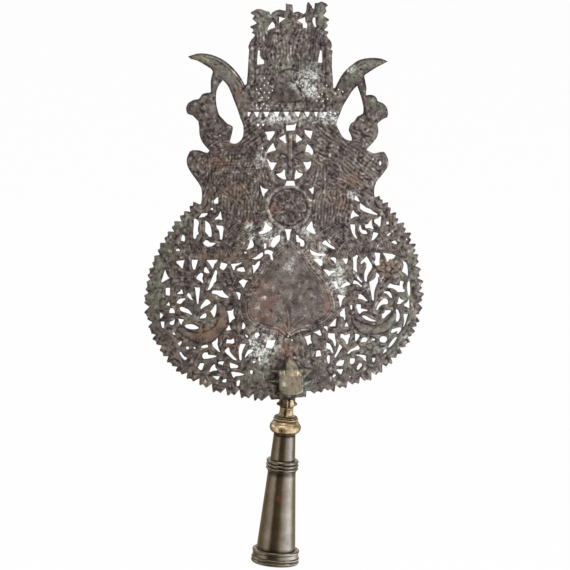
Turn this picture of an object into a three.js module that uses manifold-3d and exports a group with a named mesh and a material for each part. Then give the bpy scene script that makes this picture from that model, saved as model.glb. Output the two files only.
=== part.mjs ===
// An alam: the pierced metal head of a processional standard. It is a cut plate with a tower, two
// horns and two dragon heads, held at its tab by a forked shank between two brass stars. The shank
// runs down through a brass neck into the top of a tapered socket that fits on a wooden pole.
// Millimetres, +Z up. The plate stands in the XZ plane and its front looks along -Y. The origin is
// the centre of the socket's mouth.
import * as THREE from 'three';
import { mergeVertices } from 'three/addons/utils/BufferGeometryUtils.js';
import Module from 'manifold-3d';

// Driving sizes of the plate
const PLATE_WIDTH = 280;
const PLATE_HEIGHT = 409;
const PLATE_THICKNESS = 2.8;
// The drawing below has its zero at the rivet and this reach, tip to tip and top to bottom
const DRAWN_WIDTH = 279.9;
const DRAWN_HEIGHT = 398.3;
// As drawn: the small leaf tips, the row of triangles under the tower and the small pierced dots
const LEAF_TIP_HALF_WIDTH = 1.1;
const LEAF_TIP_ROUND = 0.9;
const TRIANGLE_TOP = 268.4;
const TRIANGLE_BOW = 0.0002;
const TRIANGLE_POINT_HALF_WIDTH = 0.6;
const DOT_HALF_WIDTH = 0.95;
const DOT_HALF_HEIGHT = 1.05;
// As drawn: the foot of the tab that the fork holds, [across, up] of its two corners
const TAB_RIGHT = [16, -16.3];
const TAB_LEFT = [-18.7, -19.3];

// Clearances
const SEAT_GAP = 0.3;
const BORE_CLEARANCE = 0.3;

// Rivet and stars
const RIVET_RADIUS = 3;
const RIVET_HEAD_RADIUS = 5.4;
const RIVET_HEAD_HEIGHT = 2.6;
const RIVET_DEPTH_IN_STAR = 4.5;
const STAR_RIM = 1;
const STAR_HEIGHT = 8.5;
const STAR_FACE_HALF_WIDTH = 11.7;
const STAR_FACE_HALF_HEIGHT = 12.2;
const STAR_FACE_CENTRE = 1.2;
const STAR_NOTCH_SHARE = 1.18;
// The eight tips of the star, from the rivet, clockwise from the top
const STAR_TIPS = [
  [-1, 27.2], [22, 11.5], [22.5, 0], [16, -11.5], [-2, -19.5], [-16, -14.5], [-24.5, 0], [-21.5, 11.3]];

// Fork
const CHEEK_HALF_WIDTH = 8;
const CHEEK_TOP_HALF_WIDTH = 5.6;
const CHEEK_SHOULDER_DROP = 12;
const CHEEK_THICKNESS = 2.4;
const CROTCH_DEPTH = 2.4;
const SHANK_RADIUS = 4.5;
const SHANK_END = 1.6;

// Neck and socket: the axis leans, and passes beside the rivet
const NECK_LEAN = THREE.MathUtils.degToRad(4.24);
const NECK_OFFSET = -1.3;
const COLLAR_HEIGHT = 6.2;
const COLLAR_TOP_RADIUS = 8.2;
const COLLAR_FOOT_RADIUS = 6.8;
const CURL_COUNT = 4;
const CURL_RADIUS = 1.7;
const CURL_REACH = 8.9;
const CURL_DROP = 1.6;
const BALUSTER_HEIGHT = 14.5;
const STEM_RADIUS = 6.6;
const RING_RADIUS = 12;
const RING_HEIGHT = 3.4;
const LIP_RADIUS = 12.9;
const LIP_HEIGHT = 1.3;
const KNOP_HEIGHT = 11.2;
const KNOP_RADIUS = 15.8;
const KNOP_WIDEST_DROP = 4.5;
const KNOP_TOP_RADIUS = 12.4;
const KNOP_FOOT_RADIUS = 10.8;
const UPPER_TUBE_HEIGHT = 25.6;
const UPPER_TOP_RADIUS = 11;
const UPPER_FOOT_RADIUS = 12.5;
const UPPER_WALL = 2.1;
const TOP_PLUG_DEPTH = 6;
const PIN_RADIUS = 1.4;
const PIN_DROP_SHARE = 0.42;
const PIN_TURN = THREE.MathUtils.degToRad(24);
const SPIGOT_LENGTH = 5.3;
const MIDDLE_COLLAR_HEIGHT = 11.4;
const MIDDLE_COLLAR_RADIUS = 16.35;
const MIDDLE_BEADS = 3;
const BEAD_DEPTH = 1.3;
const LOWER_TUBE_HEIGHT = 80.6;
const LOWER_TOP_RADIUS = 14;
const LOWER_FOOT_RADIUS = 19.5;
const LOWER_WALL = 2.2;
const LOWER_BEAD_HEIGHT = 2.2;
const MOUTH_COLLAR_HEIGHT = 14.1;
const MOUTH_COLLAR_RADIUS = 24.15;
const MOUTH_LIP_THICKNESS = 2.1;
const MOUTH_BEAD_HEIGHT = 3;
const EDGE_ROUND = 0.8;

// Fineness of the mesh
const ROUND_SIDES = 32;
const ROD_SIDES = 16;
const CURL_SIDES = 12;
const BORE_SEGMENTS = 10;
const PROFILE_STEPS = 4;
const CURVE_STEPS = 2;
// How far a cutting body runs past what it cuts
const CUT_OVERRUN = 5;

const BRASS = { color: 0xb39a62, roughness: 0.38, metalness: 0.9 };
const PLATE_METAL = { color: 0x655a54, roughness: 0.6, metalness: 0.75 };
const DARK_METAL = { color: 0x5d544c, roughness: 0.32, metalness: 0.85 };

const wasm = await Module();
wasm.setup();

// Mesh helpers

function solid(geometry) {
  const bare = geometry.clone();
  for (const name of Object.keys(bare.attributes)) {
    if (name !== 'position') bare.deleteAttribute(name);
  }
  const merged = mergeVertices(bare, 1e-4);
  return new wasm.Manifold(new wasm.Mesh({
    numProp: 3,
    vertProperties: new Float32Array(merged.attributes.position.array),
    triVerts: new Uint32Array(merged.index.array),
  }));
}

function geometryOf(manifold) {
  const mesh = manifold.getMesh();
  const geometry = new THREE.BufferGeometry();
  geometry.setAttribute('position', new THREE.BufferAttribute(mesh.vertProperties, 3));
  geometry.setIndex(new THREE.BufferAttribute(mesh.triVerts, 1));
  geometry.computeVertexNormals();
  return geometry;
}

function piece(name, geometry, finish) {
  const mesh = new THREE.Mesh(geometry, new THREE.MeshStandardMaterial(finish));
  mesh.name = name;
  return mesh;
}

// A body turned about Z from a closed profile of [radius, height] points
function turned(path) {
  return new THREE.LatheGeometry(path.getPoints(PROFILE_STEPS), ROUND_SIDES).rotateX(Math.PI / 2);
}

// A sheet in the XZ plane, its middle at y = 0
function sheet(shape, thickness) {
  const options = { depth: thickness, bevelEnabled: false, curveSegments: BORE_SEGMENTS };
  const geometry = new THREE.ExtrudeGeometry(shape, options);
  return geometry.translate(0, 0, -thickness / 2).rotateX(Math.PI / 2);
}

function rod(radius, length) {
  return new THREE.CylinderGeometry(radius, radius, length, ROD_SIDES);
}

// Drawing helpers for the plate: points are [right, up] from the rivet, as drawn

const acrossScale = PLATE_WIDTH / DRAWN_WIDTH;
const upScale = PLATE_HEIGHT / DRAWN_HEIGHT;

function onPlate([across, up]) {
  return new THREE.Vector2(across * acrossScale, up * upScale);
}

function pairs(...numbers) {
  const points = [];
  for (let i = 0; i < numbers.length; i += 2) points.push([numbers[i], numbers[i + 1]]);
  return points;
}

// The points of a smooth curve through hand-picked ones
function bend(...numbers) {
  const through = pairs(...numbers).map(([x, y]) => new THREE.Vector2(x, y));
  const curve = new THREE.SplineCurve(through);
  return curve.getPoints((through.length - 1) * CURVE_STEPS).map((p) => [p.x, p.y]);
}

// A rounded tip between the points before and after it
function leafTip(before, tip, after) {
  const [b, t, a] = [before, tip, after].map(([x, y]) => new THREE.Vector2(x, y));
  const out = t.clone().sub(b.clone().add(a).multiplyScalar(0.5)).normalize();
  const side = new THREE.Vector2(-out.y, out.x);
  if (side.dot(b.clone().sub(a)) < 0) side.negate();
  const root = t.clone().addScaledVector(out, -LEAF_TIP_ROUND);
  const near = root.clone().addScaledVector(side, LEAF_TIP_HALF_WIDTH);
  const far = root.clone().addScaledVector(side, -LEAF_TIP_HALF_WIDTH);
  return [[near.x, near.y], tip, [far.x, far.y]];
}

// A row of two-lobed leaves: each is [outer tip, middle, inner tip, notch before the next leaf]
function leafRow(start, leaves) {
  const points = [start];
  for (const numbers of leaves) {
    const before = points.at(-1);
    const [outer, middle, inner, notch] = pairs(...numbers);
    points.push(...leafTip(before, outer, middle), middle, ...leafTip(middle, inner, notch), notch);
  }
  return points;
}

// Outline of the plate, from the notch of the left horn up, over the crown and down to the tab

const leftTower = pairs(
  -45, 294.5, -43.2, 296, -42.3, 306, -41.5, 320, -40.8, 330, -41.7, 333, -40.3, 337, -38.5, 340,
  -36, 342.5, -35, 344.5, -36, 346, -38.3, 346.8, -36.5, 348.5, -36.6, 350.5, -39.8, 352.2, -39.5, 353.3,
  -35.5, 354.8, -33, 356.3, -36, 359.5, -37.6, 360.7, -36.5, 362.2, -35.2, 363.8, -39.3, 366.2,
  -38.5, 367.5, -35, 369.2, -33.5, 370.3, -29, 370.2, -24, 368.3, -20.3, 367.5, -19.8, 364.5,
  -17.5, 367, -14, 369, -10.5, 369.8, -6.5, 369, -4.3, 368.6);
const finial = pairs(-4.3, 374.5, -4.2, 376.3, -3, 375.3, 0, 375, 2.3, 374.8, 2.8, 371, 2.9, 368);
const rightCrown = pairs(
  3.6, 366.6, 6, 367.6, 9, 367.6, 11.5, 366.3, 13.3, 365.4, 15.3, 366.5, 16.2, 370, 16.5, 374, 17.5, 377,
  18.5, 377.3, 20, 375.5, 21.5, 373.5, 22.3, 371.5, 23.2, 370.3, 24.3, 371.5, 24.5, 375.2, 25.2, 376.5,
  27.2, 376.2, 31.5, 377.8, 33.5, 377, 36.5, 375.5, 37.8, 373.8, 36.5, 372.8, 35, 371.8, 36.4, 368.5,
  35, 366.5, 33, 364, 34.5, 362.8, 38.8, 360.3, 38.8, 359, 36.5, 357.8, 36.3, 356.5, 37.6, 354.5,
  37.6, 353.3, 34, 350, 35, 348.7, 38.2, 348, 38, 346.5, 36.6, 344.8, 37, 343, 38.3, 341, 40, 339.3,
  41.3, 337, 41.8, 334.5, 41.2, 331.5, 40.3, 329.9, 42.3, 329.2, 42.4, 327.5, 41.8, 325,
  41.9, 312, 42.6, 302, 43.2, 292, 44, 291.5);
const rightHorn = [
  ...bend(45.5, 293, 50, 302, 56, 310, 63.5, 316.2, 70, 320, 80, 321.8, 90, 321.2, 97.2, 318.5),
  ...bend(93.8, 316.5, 86, 312.5, 77.5, 307, 74.5, 305)];
const rightHead = [
  ...pairs(74.1, 303, 75, 299, 76.3, 292, 75.7, 284.5, 80, 285.2, 83, 284.5, 85, 283.5, 86.5, 281.5,
    87.3, 279, 88.5, 278.2),
  ...bend(92, 277, 96, 273.5, 97.8, 267.5, 97, 263.2, 94, 261.8),
  ...pairs(91, 260, 88.8, 258, 87.2, 256.5),
  ...bend(87.5, 254, 88.2, 249.5, 87.3, 244.5, 84.5, 239.8, 80.5, 235.3, 77, 231.5)];
const rightBump = [
  ...pairs(76.5, 230.3, 78.5, 228.8, 80.5, 228, 83, 226.8, 86, 227, 90, 228, 93.5, 228.3),
  ...bend(95, 227, 97.5, 222, 98.2, 215.5, 94.5, 209, 90, 203.3, 86, 198, 84, 190, 84.5, 183.2)];
const rightRim = leafRow([86.5, 183.2], [
  [89.5, 184.3, 89.8, 181.8, 92.3, 180.7, 92.5, 176.8],
  [98.2, 177.6, 97.3, 174, 100.3, 172.8, 99.9, 166.5],
  [106, 168, 105.5, 163, 108, 162, 106.8, 156.5],
  [114.2, 157.3, 113, 153.5, 115.6, 152.2, 113.8, 147.5],
  [121, 147, 119.2, 144, 121, 141.5, 118.5, 136.6],
  [125.8, 135.8, 124.2, 133.5, 125.5, 130.8, 122.6, 126.3],
  [128.2, 125.5, 127, 122.3, 128.7, 119.5, 124.8, 114.5],
  [130.9, 111, 129, 108, 129.7, 105, 126.8, 102.3],
  [133.2, 98.8, 131, 96, 131.9, 93.2, 128.6, 89],
  [134, 86.3, 131.8, 84, 132.3, 81, 128.6, 76.7],
  [132.3, 72, 130.5, 69.8, 129.4, 67.1, 124.8, 65.8],
  [129.3, 58.6, 126.5, 58, 126.9, 54.6, 121.5, 53],
  [125, 48.6, 122.5, 46.8, 121.8, 45.5, 117.3, 43.8],
  [119.8, 38, 117, 37.3, 115.9, 34.3, 109.4, 32.9],
  [111.8, 27, 107.5, 26.6, 106.6, 22.9, 100.7, 23.3],
  [102, 16.6, 98.8, 17.6, 96.7, 14.2, 92.3, 16.3],
  [91.5, 7.6, 88.8, 8.2, 86.9, 5.9, 81.5, 8.4],
  [80.6, -0.3, 78, 0.6, 75.3, -0.3, 70, 4],
  [68.4, -3.4, 65.7, -2.2, 63.3, -3.9, 57.9, -0.5],
  [55.6, -7.6, 53, -6.3, 50.8, -7.4, 45.7, -4.3],
  [43.8, -11.4, 41, -9, 38.4, -10.1, 34.5, -7.8],
  [31, -12.2, 27.5, -10.7, 24.6, -13.2, 20.5, -10.5]]);
const leftHorn = [
  ...bend(-46, 296.5, -50, 303.5, -56.5, 311.5, -64, 318, -70.5, 321.8, -78, 324.8, -86, 326.2,
    -93.5, 325.8, -101.5, 323.2),
  ...bend(-99, 321, -92, 319, -85.5, 315.3, -79, 311.3, -77.3, 309)];
const leftHead = [
  ...pairs(-77, 307.5, -78.2, 304, -79.2, 298, -79, 287.8, -80.5, 287.2, -84, 286.8, -87, 286,
    -88.8, 284, -90.2, 281.8, -91.5, 280.7),
  ...bend(-96, 280, -101, 277.2, -103.7, 272.5, -102.5, 266.8, -99.5, 265.5),
  ...pairs(-97, 264.6, -93, 260.3),
  ...bend(-91.5, 259, -90.7, 253, -90.2, 245, -87.3, 238, -83, 232.6)];
const leftBump = [
  ...pairs(-80.5, 230, -81, 228.5, -82.5, 227.3, -86, 228, -89, 229.3, -92, 229.8, -97, 230),
  ...bend(-100, 228.5, -103, 222, -102.5, 214.5, -98, 206.5, -93.2, 200, -88.7, 192.5, -88, 184,
    -88.8, 176.5)];
const leftRim = leafRow([-90.5, 175.8], [
  [-96.8, 178.2, -97, 174.6, -100, 174.5, -99.3, 168.3],
  [-106, 168.8, -106, 165.3, -109.7, 164.8, -108.3, 158.8],
  [-116, 158.3, -115.5, 155.3, -118, 154, -115.5, 148.6],
  [-122.3, 148.3, -122.3, 144.6, -125.3, 143, -124, 137.5],
  [-130, 137, -129.8, 132.5, -132, 130.8, -130.1, 125.5],
  [-135.8, 124.2, -135.8, 120, -137.3, 118.5, -136, 113.3],
  [-141, 111.3, -140.2, 107.8, -142.3, 106, -139.6, 100.8],
  [-143.5, 98.7, -142.6, 94.5, -144.5, 91.5, -141.5, 87.5],
  [-145.9, 84.3, -145, 81.5, -145.8, 78.5, -140.5, 73.7],
  [-145.6, 67.3, -143.5, 65.3, -142.9, 61.8, -137.3, 58.3],
  [-141.6, 53, -140, 51, -139, 47.2, -134, 45.8],
  [-137.5, 41, -134.8, 39.8, -134, 36.7, -128.3, 35],
  [-130, 29.2, -127.6, 28, -127.3, 25.2, -121.5, 24.2],
  [-122.8, 18, -119.8, 18, -118.2, 14.8, -112.5, 13.8],
  [-114, 9, -110.8, 9, -109, 6.4, -102.6, 7.8],
  [-103, 1.6, -99.8, 2, -97.5, -0.7, -90.6, 2.2],
  [-90, -4.9, -87.2, -3.7, -84.5, -7.2, -78.4, -3.3],
  [-76.4, -12, -73.9, -10, -70, -12.6, -64.4, -7.5],
  [-61.8, -15.3, -59.3, -12.8, -56.5, -14.9, -50.8, -9],
  [-48, -17.9, -45.5, -15.8, -42.2, -17.9, -36.6, -13.2],
  [-35, -20.5, -32.3, -17.5, -29.5, -20.4, -21, -14.6]]);

// The whole outline, counter-clockwise as ExtrudeGeometry wants it where there are holes
const tabNotch = [16.6, -10.4];
const crownAndRight = [
  ...leftTower, ...finial, ...rightCrown, ...rightHorn, ...rightHead, ...rightBump, ...rightRim];
const outline = [
  ...leftHorn, ...leftHead, ...leftBump, ...leftRim, TAB_LEFT, TAB_RIGHT, tabNotch,
  ...crownAndRight.reverse()];

// The two large openings under the horns
const loops = [
  bend(-67, 299.8, -62.5, 295, -59, 288, -56, 280, -52.8, 272, -49.5, 262, -46.6, 254, -47, 243.5,
    -50.5, 238.5, -55, 236.3, -59.5, 237.5, -59.3, 241.5, -57.6, 248, -57.2, 253.5, -62.5, 256.2, -66.5, 260.5,
    -70.3, 264.5, -72.5, 271, -73.8, 279, -73.3, 289, -70.5, 295.5),
  bend(67, 294.3, 61.5, 288.5, 57, 281, 53, 274.5, 49.8, 266, 46.2, 256, 49, 250, 52, 243.8, 56.5, 240.3,
    61.5, 239.6, 60.8, 244.8, 58.5, 250, 60.5, 256.3, 64, 258.5, 67.3, 263.5, 72.6, 266.3, 73, 274,
    70.8, 283.5)];

// Openings of the crown and the tower
const towerHoles = [
  pairs(-17.5, 358, -15.3, 355.5, -15, 352, -19.5, 350.3, -22.7, 348.9, -21.8, 352, -19.5, 356),
  pairs(-10.8, 363, -7, 361.8, -4, 361.3, -7, 359.3, -10.9, 356.5),
  pairs(7.2, 359.5, 12, 361.3, 14.8, 362.7, 15.4, 357.5, 17.2, 356, 17, 351.3, 13, 351.7, 12.6, 356,
    9.8, 357.2),
  pairs(22.8, 362, 25.2, 362, 25.3, 357, 26.3, 352.5, 25, 352.5, 23.8, 354, 22.3, 358),
  pairs(30, 330, 31.8, 328.5, 32, 322, 32, 317, 28, 317, 28.5, 322, 29.8, 328),
  pairs(-31.8, 329.7, -30, 329.3, -30.2, 324.5, -28.8, 321.5, -26, 319.5, -26, 315.8, -32.8, 315, -32.7, 320)];

// The row of triangles bows up a little in its middle
function rowTop(across) {
  return [across, TRIANGLE_TOP - TRIANGLE_BOW * across * across];
}

function triangleHole([left, right, across, up]) {
  const point = [[across + TRIANGLE_POINT_HALF_WIDTH, up], [across - TRIANGLE_POINT_HALF_WIDTH, up]];
  return [rowTop(left), rowTop(right), ...point];
}

// Downward triangles under the tower: [left, right, point across, point up]
const triangles = [
  [-42, -39, -41.5, 263.5], [-36, -30.5, -33, 263], [-27, -20.5, -23.2, 263.2], [-16.5, -10.3, -13, 262.7],
  [-6.8, -0.8, -3.6, 263.3], [4.2, 10.3, 8, 263], [14, 19.7, 17.5, 263], [24, 28, 26, 263.3],
  [32.7, 37, 35, 264]];

// Small diamonds of the tower's lattice, and other pierced dots: [across, up] and, where they differ
// from the usual ones, [half width, half height]
const dots = [
  [-21.7, 297], [-25.5, 294.5], [-17.5, 289.5], [-20.7, 287.3], [-25.5, 287.3], [-21.3, 282.3], [-23.5, 271.8],
  [-29.3, 291.3], [-33.3, 290.6], [-31, 286.8], [-27.8, 282.6], [-33.3, 274.7], [-26.3, 276], [-29, 271.8],
  [-25.5, 301.8], [12.5, 294.5], [22.2, 284.5], [17, 302.5], [32, 286], [33, 279], [29, 283.2],
  [26.7, 279.4], [36.5, 294.5], [37.5, 281], [48.5, 290.5], [52.6, 288.3], [40.5, 267.8, 1.2, 1.2],
  [45, 266.6, 1.5, 1.5], [-31.8, 255.2, 1.7, 1.7], [-26.8, 255.3, 1.5, 1.5], [-27.3, 231.8, 0.9, 1.5],
  [90, 217, 1.5, 2.7], [116.5, 141, 1.1, 1.1], [2, 40.4, 1.2, 1.2], [60, 3.6, 0.9, 1]];

function dotHole([across, up, halfWidth = DOT_HALF_WIDTH, halfHeight = DOT_HALF_HEIGHT]) {
  const sides = [[across - halfWidth, up], [across + halfWidth, up]];
  return [sides[0], [across, up + halfHeight], sides[1], [across, up - halfHeight]];
}

// Openings between the petals of the large flower and round the roundel under it
const flowerHoles = [
  pairs(-25.2, 248.2, -15.8, 249.3, -15.3, 247, -18, 242.3, -20.5, 239.3, -22.5, 240.8, -23, 244.5),
  pairs(-4, 254.6, 0, 255.2, 3.8, 255.5, 6.6, 257.3, 5.5, 252.5, 4.6, 249.5, 0, 249.4, -3.6, 249.2),
  pairs(14.6, 250.6, 17, 249.8, 22.6, 249.2, 21.8, 245.5, 20.6, 241.2, 18, 243.2, 14.8, 247),
  pairs(-11, 242.3, -8, 244, -4.6, 245.8, -4.4, 241, -3.2, 237.2, -4.8, 236.6, -7, 239, -10.2, 240.8),
  pairs(6.3, 246, 8.8, 244.3, 11.8, 241.2, 11.8, 240, 9, 238.8, 6.3, 237.2, 6.2, 242),
  pairs(-16.8, 237.4, -15.6, 233.8, -13.6, 230, -18, 228.8, -23.3, 226.8, -22, 230.8, -19.8, 234),
  pairs(17.2, 236.3, 20.3, 234, 22.8, 230, 23, 226.6, 21.8, 224.7, 19.3, 227.4, 15.2, 228.2, 15.9, 232.3),
  pairs(-23.4, 222, -21.6, 220.8, -19.9, 218.2, -13, 217.6, -15, 214.5, -17, 210.3, -18.6, 209.8, -20.5, 214.3),
  pairs(13, 218.4, 17, 218.3, 21, 219, 21, 215.8, 19.8, 212.5, 17.6, 210, 16.4, 211, 14.6, 215),
  pairs(-14.3, 206.4, -9.8, 207.2, -7.8, 208.4, -6, 211.3, -4.9, 210, -4.9, 205, -3.6, 201, -7, 200.8,
    -11, 203.2),
  pairs(6.2, 210.6, 8.2, 208, 12.8, 206.8, 12.4, 205, 9.5, 202.3, 4.6, 200.7, 4.9, 205.5),
  pairs(-3.4, 199.6, 4, 199.6, 5.4, 194.4, -5, 194.4),
  pairs(-29.8, 195.8, -27.8, 192.8, -25, 191.6, -21.6, 191, -23.3, 188.5, -25.3, 186.8, -26, 183.2,
    -27.3, 184.8, -28.8, 190.5),
  pairs(18.3, 191.3, 21.5, 192.3, 23.5, 193.8, 23.5, 190, 23.3, 186.8, 22, 186, 20.8, 188.6),
  pairs(-5.8, 151.3, 1.9, 151.3, 0.3, 148, -0.3, 142, -1.2, 139.8, -2.8, 140, -3.5, 145, -4.4, 149),
  pairs(-24, 158.7, -22.2, 155.5, -17, 152.3, -19.5, 150.2, -24, 147.4, -28, 146.1, -31.5, 146.8, -31, 148.3,
    -27.5, 150, -26, 153),
  pairs(21.3, 159.3, 22.3, 158.5, 22.8, 154, 24.2, 150, 25.8, 147, 24.5, 146.3, 22, 147.2, 18, 149.3,
    15.8, 151.5, 17.5, 154)];

// Openings of the scrollwork, left half of the body, from the shoulder down
const leftScrollHoles = [
  pairs(-71.8, 183.8, -71.7, 179, -72, 176.7, -75.8, 176.6, -76, 180, -74, 182),
  pairs(-79.8, 171.6, -77.2, 172.8, -76.6, 170.2, -78.6, 170.2),
  pairs(-69.4, 169.5, -68.8, 166, -68.3, 163, -67.3, 160.3, -72, 161, -75.2, 160.4, -74.2, 162.7, -71.3, 164.8),
  pairs(-82.3, 167.5, -82.8, 165.5, -85.5, 163.5, -91.5, 162.6, -90, 164.3, -88.5, 166.8, -86, 167.3),
  pairs(-96, 162, -93, 161, -91.3, 159.5, -91, 157, -92, 153, -92, 149, -91, 147, -93.5, 144.5, -94, 142,
    -95.5, 141.2, -96.5, 143, -96.5, 150, -96, 156),
  pairs(-107.2, 146, -105.3, 144.5, -104.8, 141, -105.3, 138.8, -108.8, 139.5, -108.5, 142),
  pairs(-84.8, 160, -82.2, 158.5, -80.3, 156.5, -78.8, 152, -78.3, 147, -78.5, 143.5, -80.8, 143.3,
    -82, 145.2, -84.8, 148.5, -84.5, 156),
  pairs(-74, 155.3, -67, 154.5, -66.3, 152, -66.9, 148, -67.3, 144, -68.2, 140.6, -69.8, 141, -70.2, 146,
    -70.8, 149.5, -73, 152.5),
  pairs(-84.3, 140.6, -82, 140, -80, 138, -74.5, 137.7, -74.7, 136.5, -78, 134.2, -82, 133.5, -85, 135,
    -87, 137.5),
  pairs(-114.3, 130.3, -113, 131.7, -111.3, 131.8, -110, 130.5, -110, 129.4, -113, 129.3),
  pairs(-113.3, 119.5, -105.3, 120.5, -106.3, 117, -107, 114, -107.2, 111.5, -109.8, 114, -113.3, 117.3),
  pairs(-97.7, 120.8, -92, 120.8, -93, 117, -94.8, 110.8, -96.6, 110.8, -97.7, 114, -98.2, 118),
  pairs(-124.6, 111, -124, 108.5, -122.3, 104.5, -120.3, 102, -123.5, 100.6, -127, 98.3, -129, 98, -128, 101,
    -126.7, 105, -125.7, 108.5),
  pairs(-124, 92.7, -120, 93, -120, 85, -121.3, 84.7, -123.8, 85.2, -124.3, 89),
  pairs(-108.5, 91.5, -107.5, 90, -107, 86.5, -110, 86.3, -113, 86.3, -112, 88, -109.8, 89.5),
  pairs(-101.5, 88, -99.5, 86.2, -98.5, 83, -96.8, 80.3, -98, 80.3, -100.5, 82, -103, 84.8, -102.8, 86.5),
  pairs(-89.3, 107.8, -87.3, 107.5, -86.8, 105, -87.7, 102, -86.8, 99, -86.7, 96.8, -89, 98.8, -91, 99.9,
    -93.5, 101.5, -93.3, 103.5, -91.5, 106),
  pairs(-95.4, 94.5, -94.2, 93, -90.4, 93.2, -90, 91, -90.6, 86, -91.3, 80, -91.7, 76.2, -92.7, 76.2, -93.3, 80,
    -94, 85, -94.5, 89.8),
  pairs(-113.5, 78, -112, 80.3, -109.5, 82, -105.5, 82.3, -103.8, 81.3, -106.5, 79.8, -108, 77.8, -109.5, 76.4,
    -112.5, 76.9),
  pairs(-85, 113.3, -84, 113.8, -81.5, 110, -80.3, 107.5, -82.5, 107, -86, 108.3, -85.8, 112),
  pairs(-83.7, 120.5, -72, 120.8, -73.5, 118, -75.5, 116.3, -76.8, 112.2, -77.5, 111.7, -79.3, 114.8,
    -81, 117.3),
  pairs(-68.5, 118.2, -63, 116.8, -62.5, 115.5, -64.8, 111.8, -66.5, 110, -69.8, 111.7, -70.3, 113.5,
    -69.3, 116),
  pairs(-59.3, 116.6, -51, 117.3, -48.2, 118.5, -48.2, 117.5, -51.5, 115.3, -54.5, 114, -55.5, 110.3,
    -56.7, 110.3, -58, 113.5),
  pairs(-53.3, 111.3, -51.5, 112.6, -48, 113.5, -46.3, 113.3, -45.5, 111.5, -44.6, 108.8, -48, 108.5,
    -52.7, 109.3),
  pairs(-46.7, 101.7, -45, 100.5, -41.7, 99.8, -43.8, 98, -45, 95, -46.2, 92.3, -47.3, 93.5, -49, 96.3,
    -51.5, 98.7, -50, 100),
  pairs(-73.3, 110.3, -72.7, 108, -73.6, 104.5, -73.8, 99, -76, 97.5, -77, 94.5, -80.5, 90.5, -83, 90, -81, 94,
    -79.5, 98.8, -78, 102.3, -76, 107, -74.8, 110.2),
  pairs(-77.5, 89.8, -75, 90.3, -70, 90, -67.5, 90.5, -66.3, 88, -63.3, 85.3, -61, 83.5, -62, 82.3, -66, 82.6,
    -70, 83.8, -73.5, 85.8, -78.3, 87),
  pairs(-54.5, 88.6, -51, 88.3, -49.3, 86.5, -50.3, 80.8, -51.5, 81, -52, 84),
  pairs(-38.8, 141, -37.5, 140, -36, 135.5, -37, 133, -40.5, 131.5, -43.7, 130.4, -42.3, 133, -40.8, 136.5,
    -40, 139.5),
  pairs(-45.5, 128.8, -43.5, 128.6, -43, 127, -45.5, 127),
  pairs(-38.7, 121.7, -34, 123.5, -31.3, 126.2, -27.9, 128.3, -26.9, 127.6, -27.2, 124.5, -30, 121.8,
    -34, 120.8),
  pairs(-25.3, 129.8, -22, 130.8, -18.5, 129.8, -16.8, 128.5, -17.8, 126, -16.8, 121.5, -17.5, 119.5,
    -19.2, 121.5, -19.5, 125, -21.5, 126.3, -25.4, 126.2),
  pairs(-25.8, 137.5, -23.7, 137, -23.8, 132, -25.8, 131.5),
  pairs(-37.8, 115.8, -35, 115.3, -32, 119, -30, 120, -30.3, 116, -32, 112.5, -34.5, 109.5, -36.6, 106.8,
    -36.8, 111),
  pairs(-10, 145.8, -13.5, 144.8, -16.8, 142, -18.8, 138, -18.8, 134, -17.5, 132.8, -15.5, 133.2, -13.5, 135.8,
    -11.5, 138, -10.2, 140, -9.8, 143)];

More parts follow.
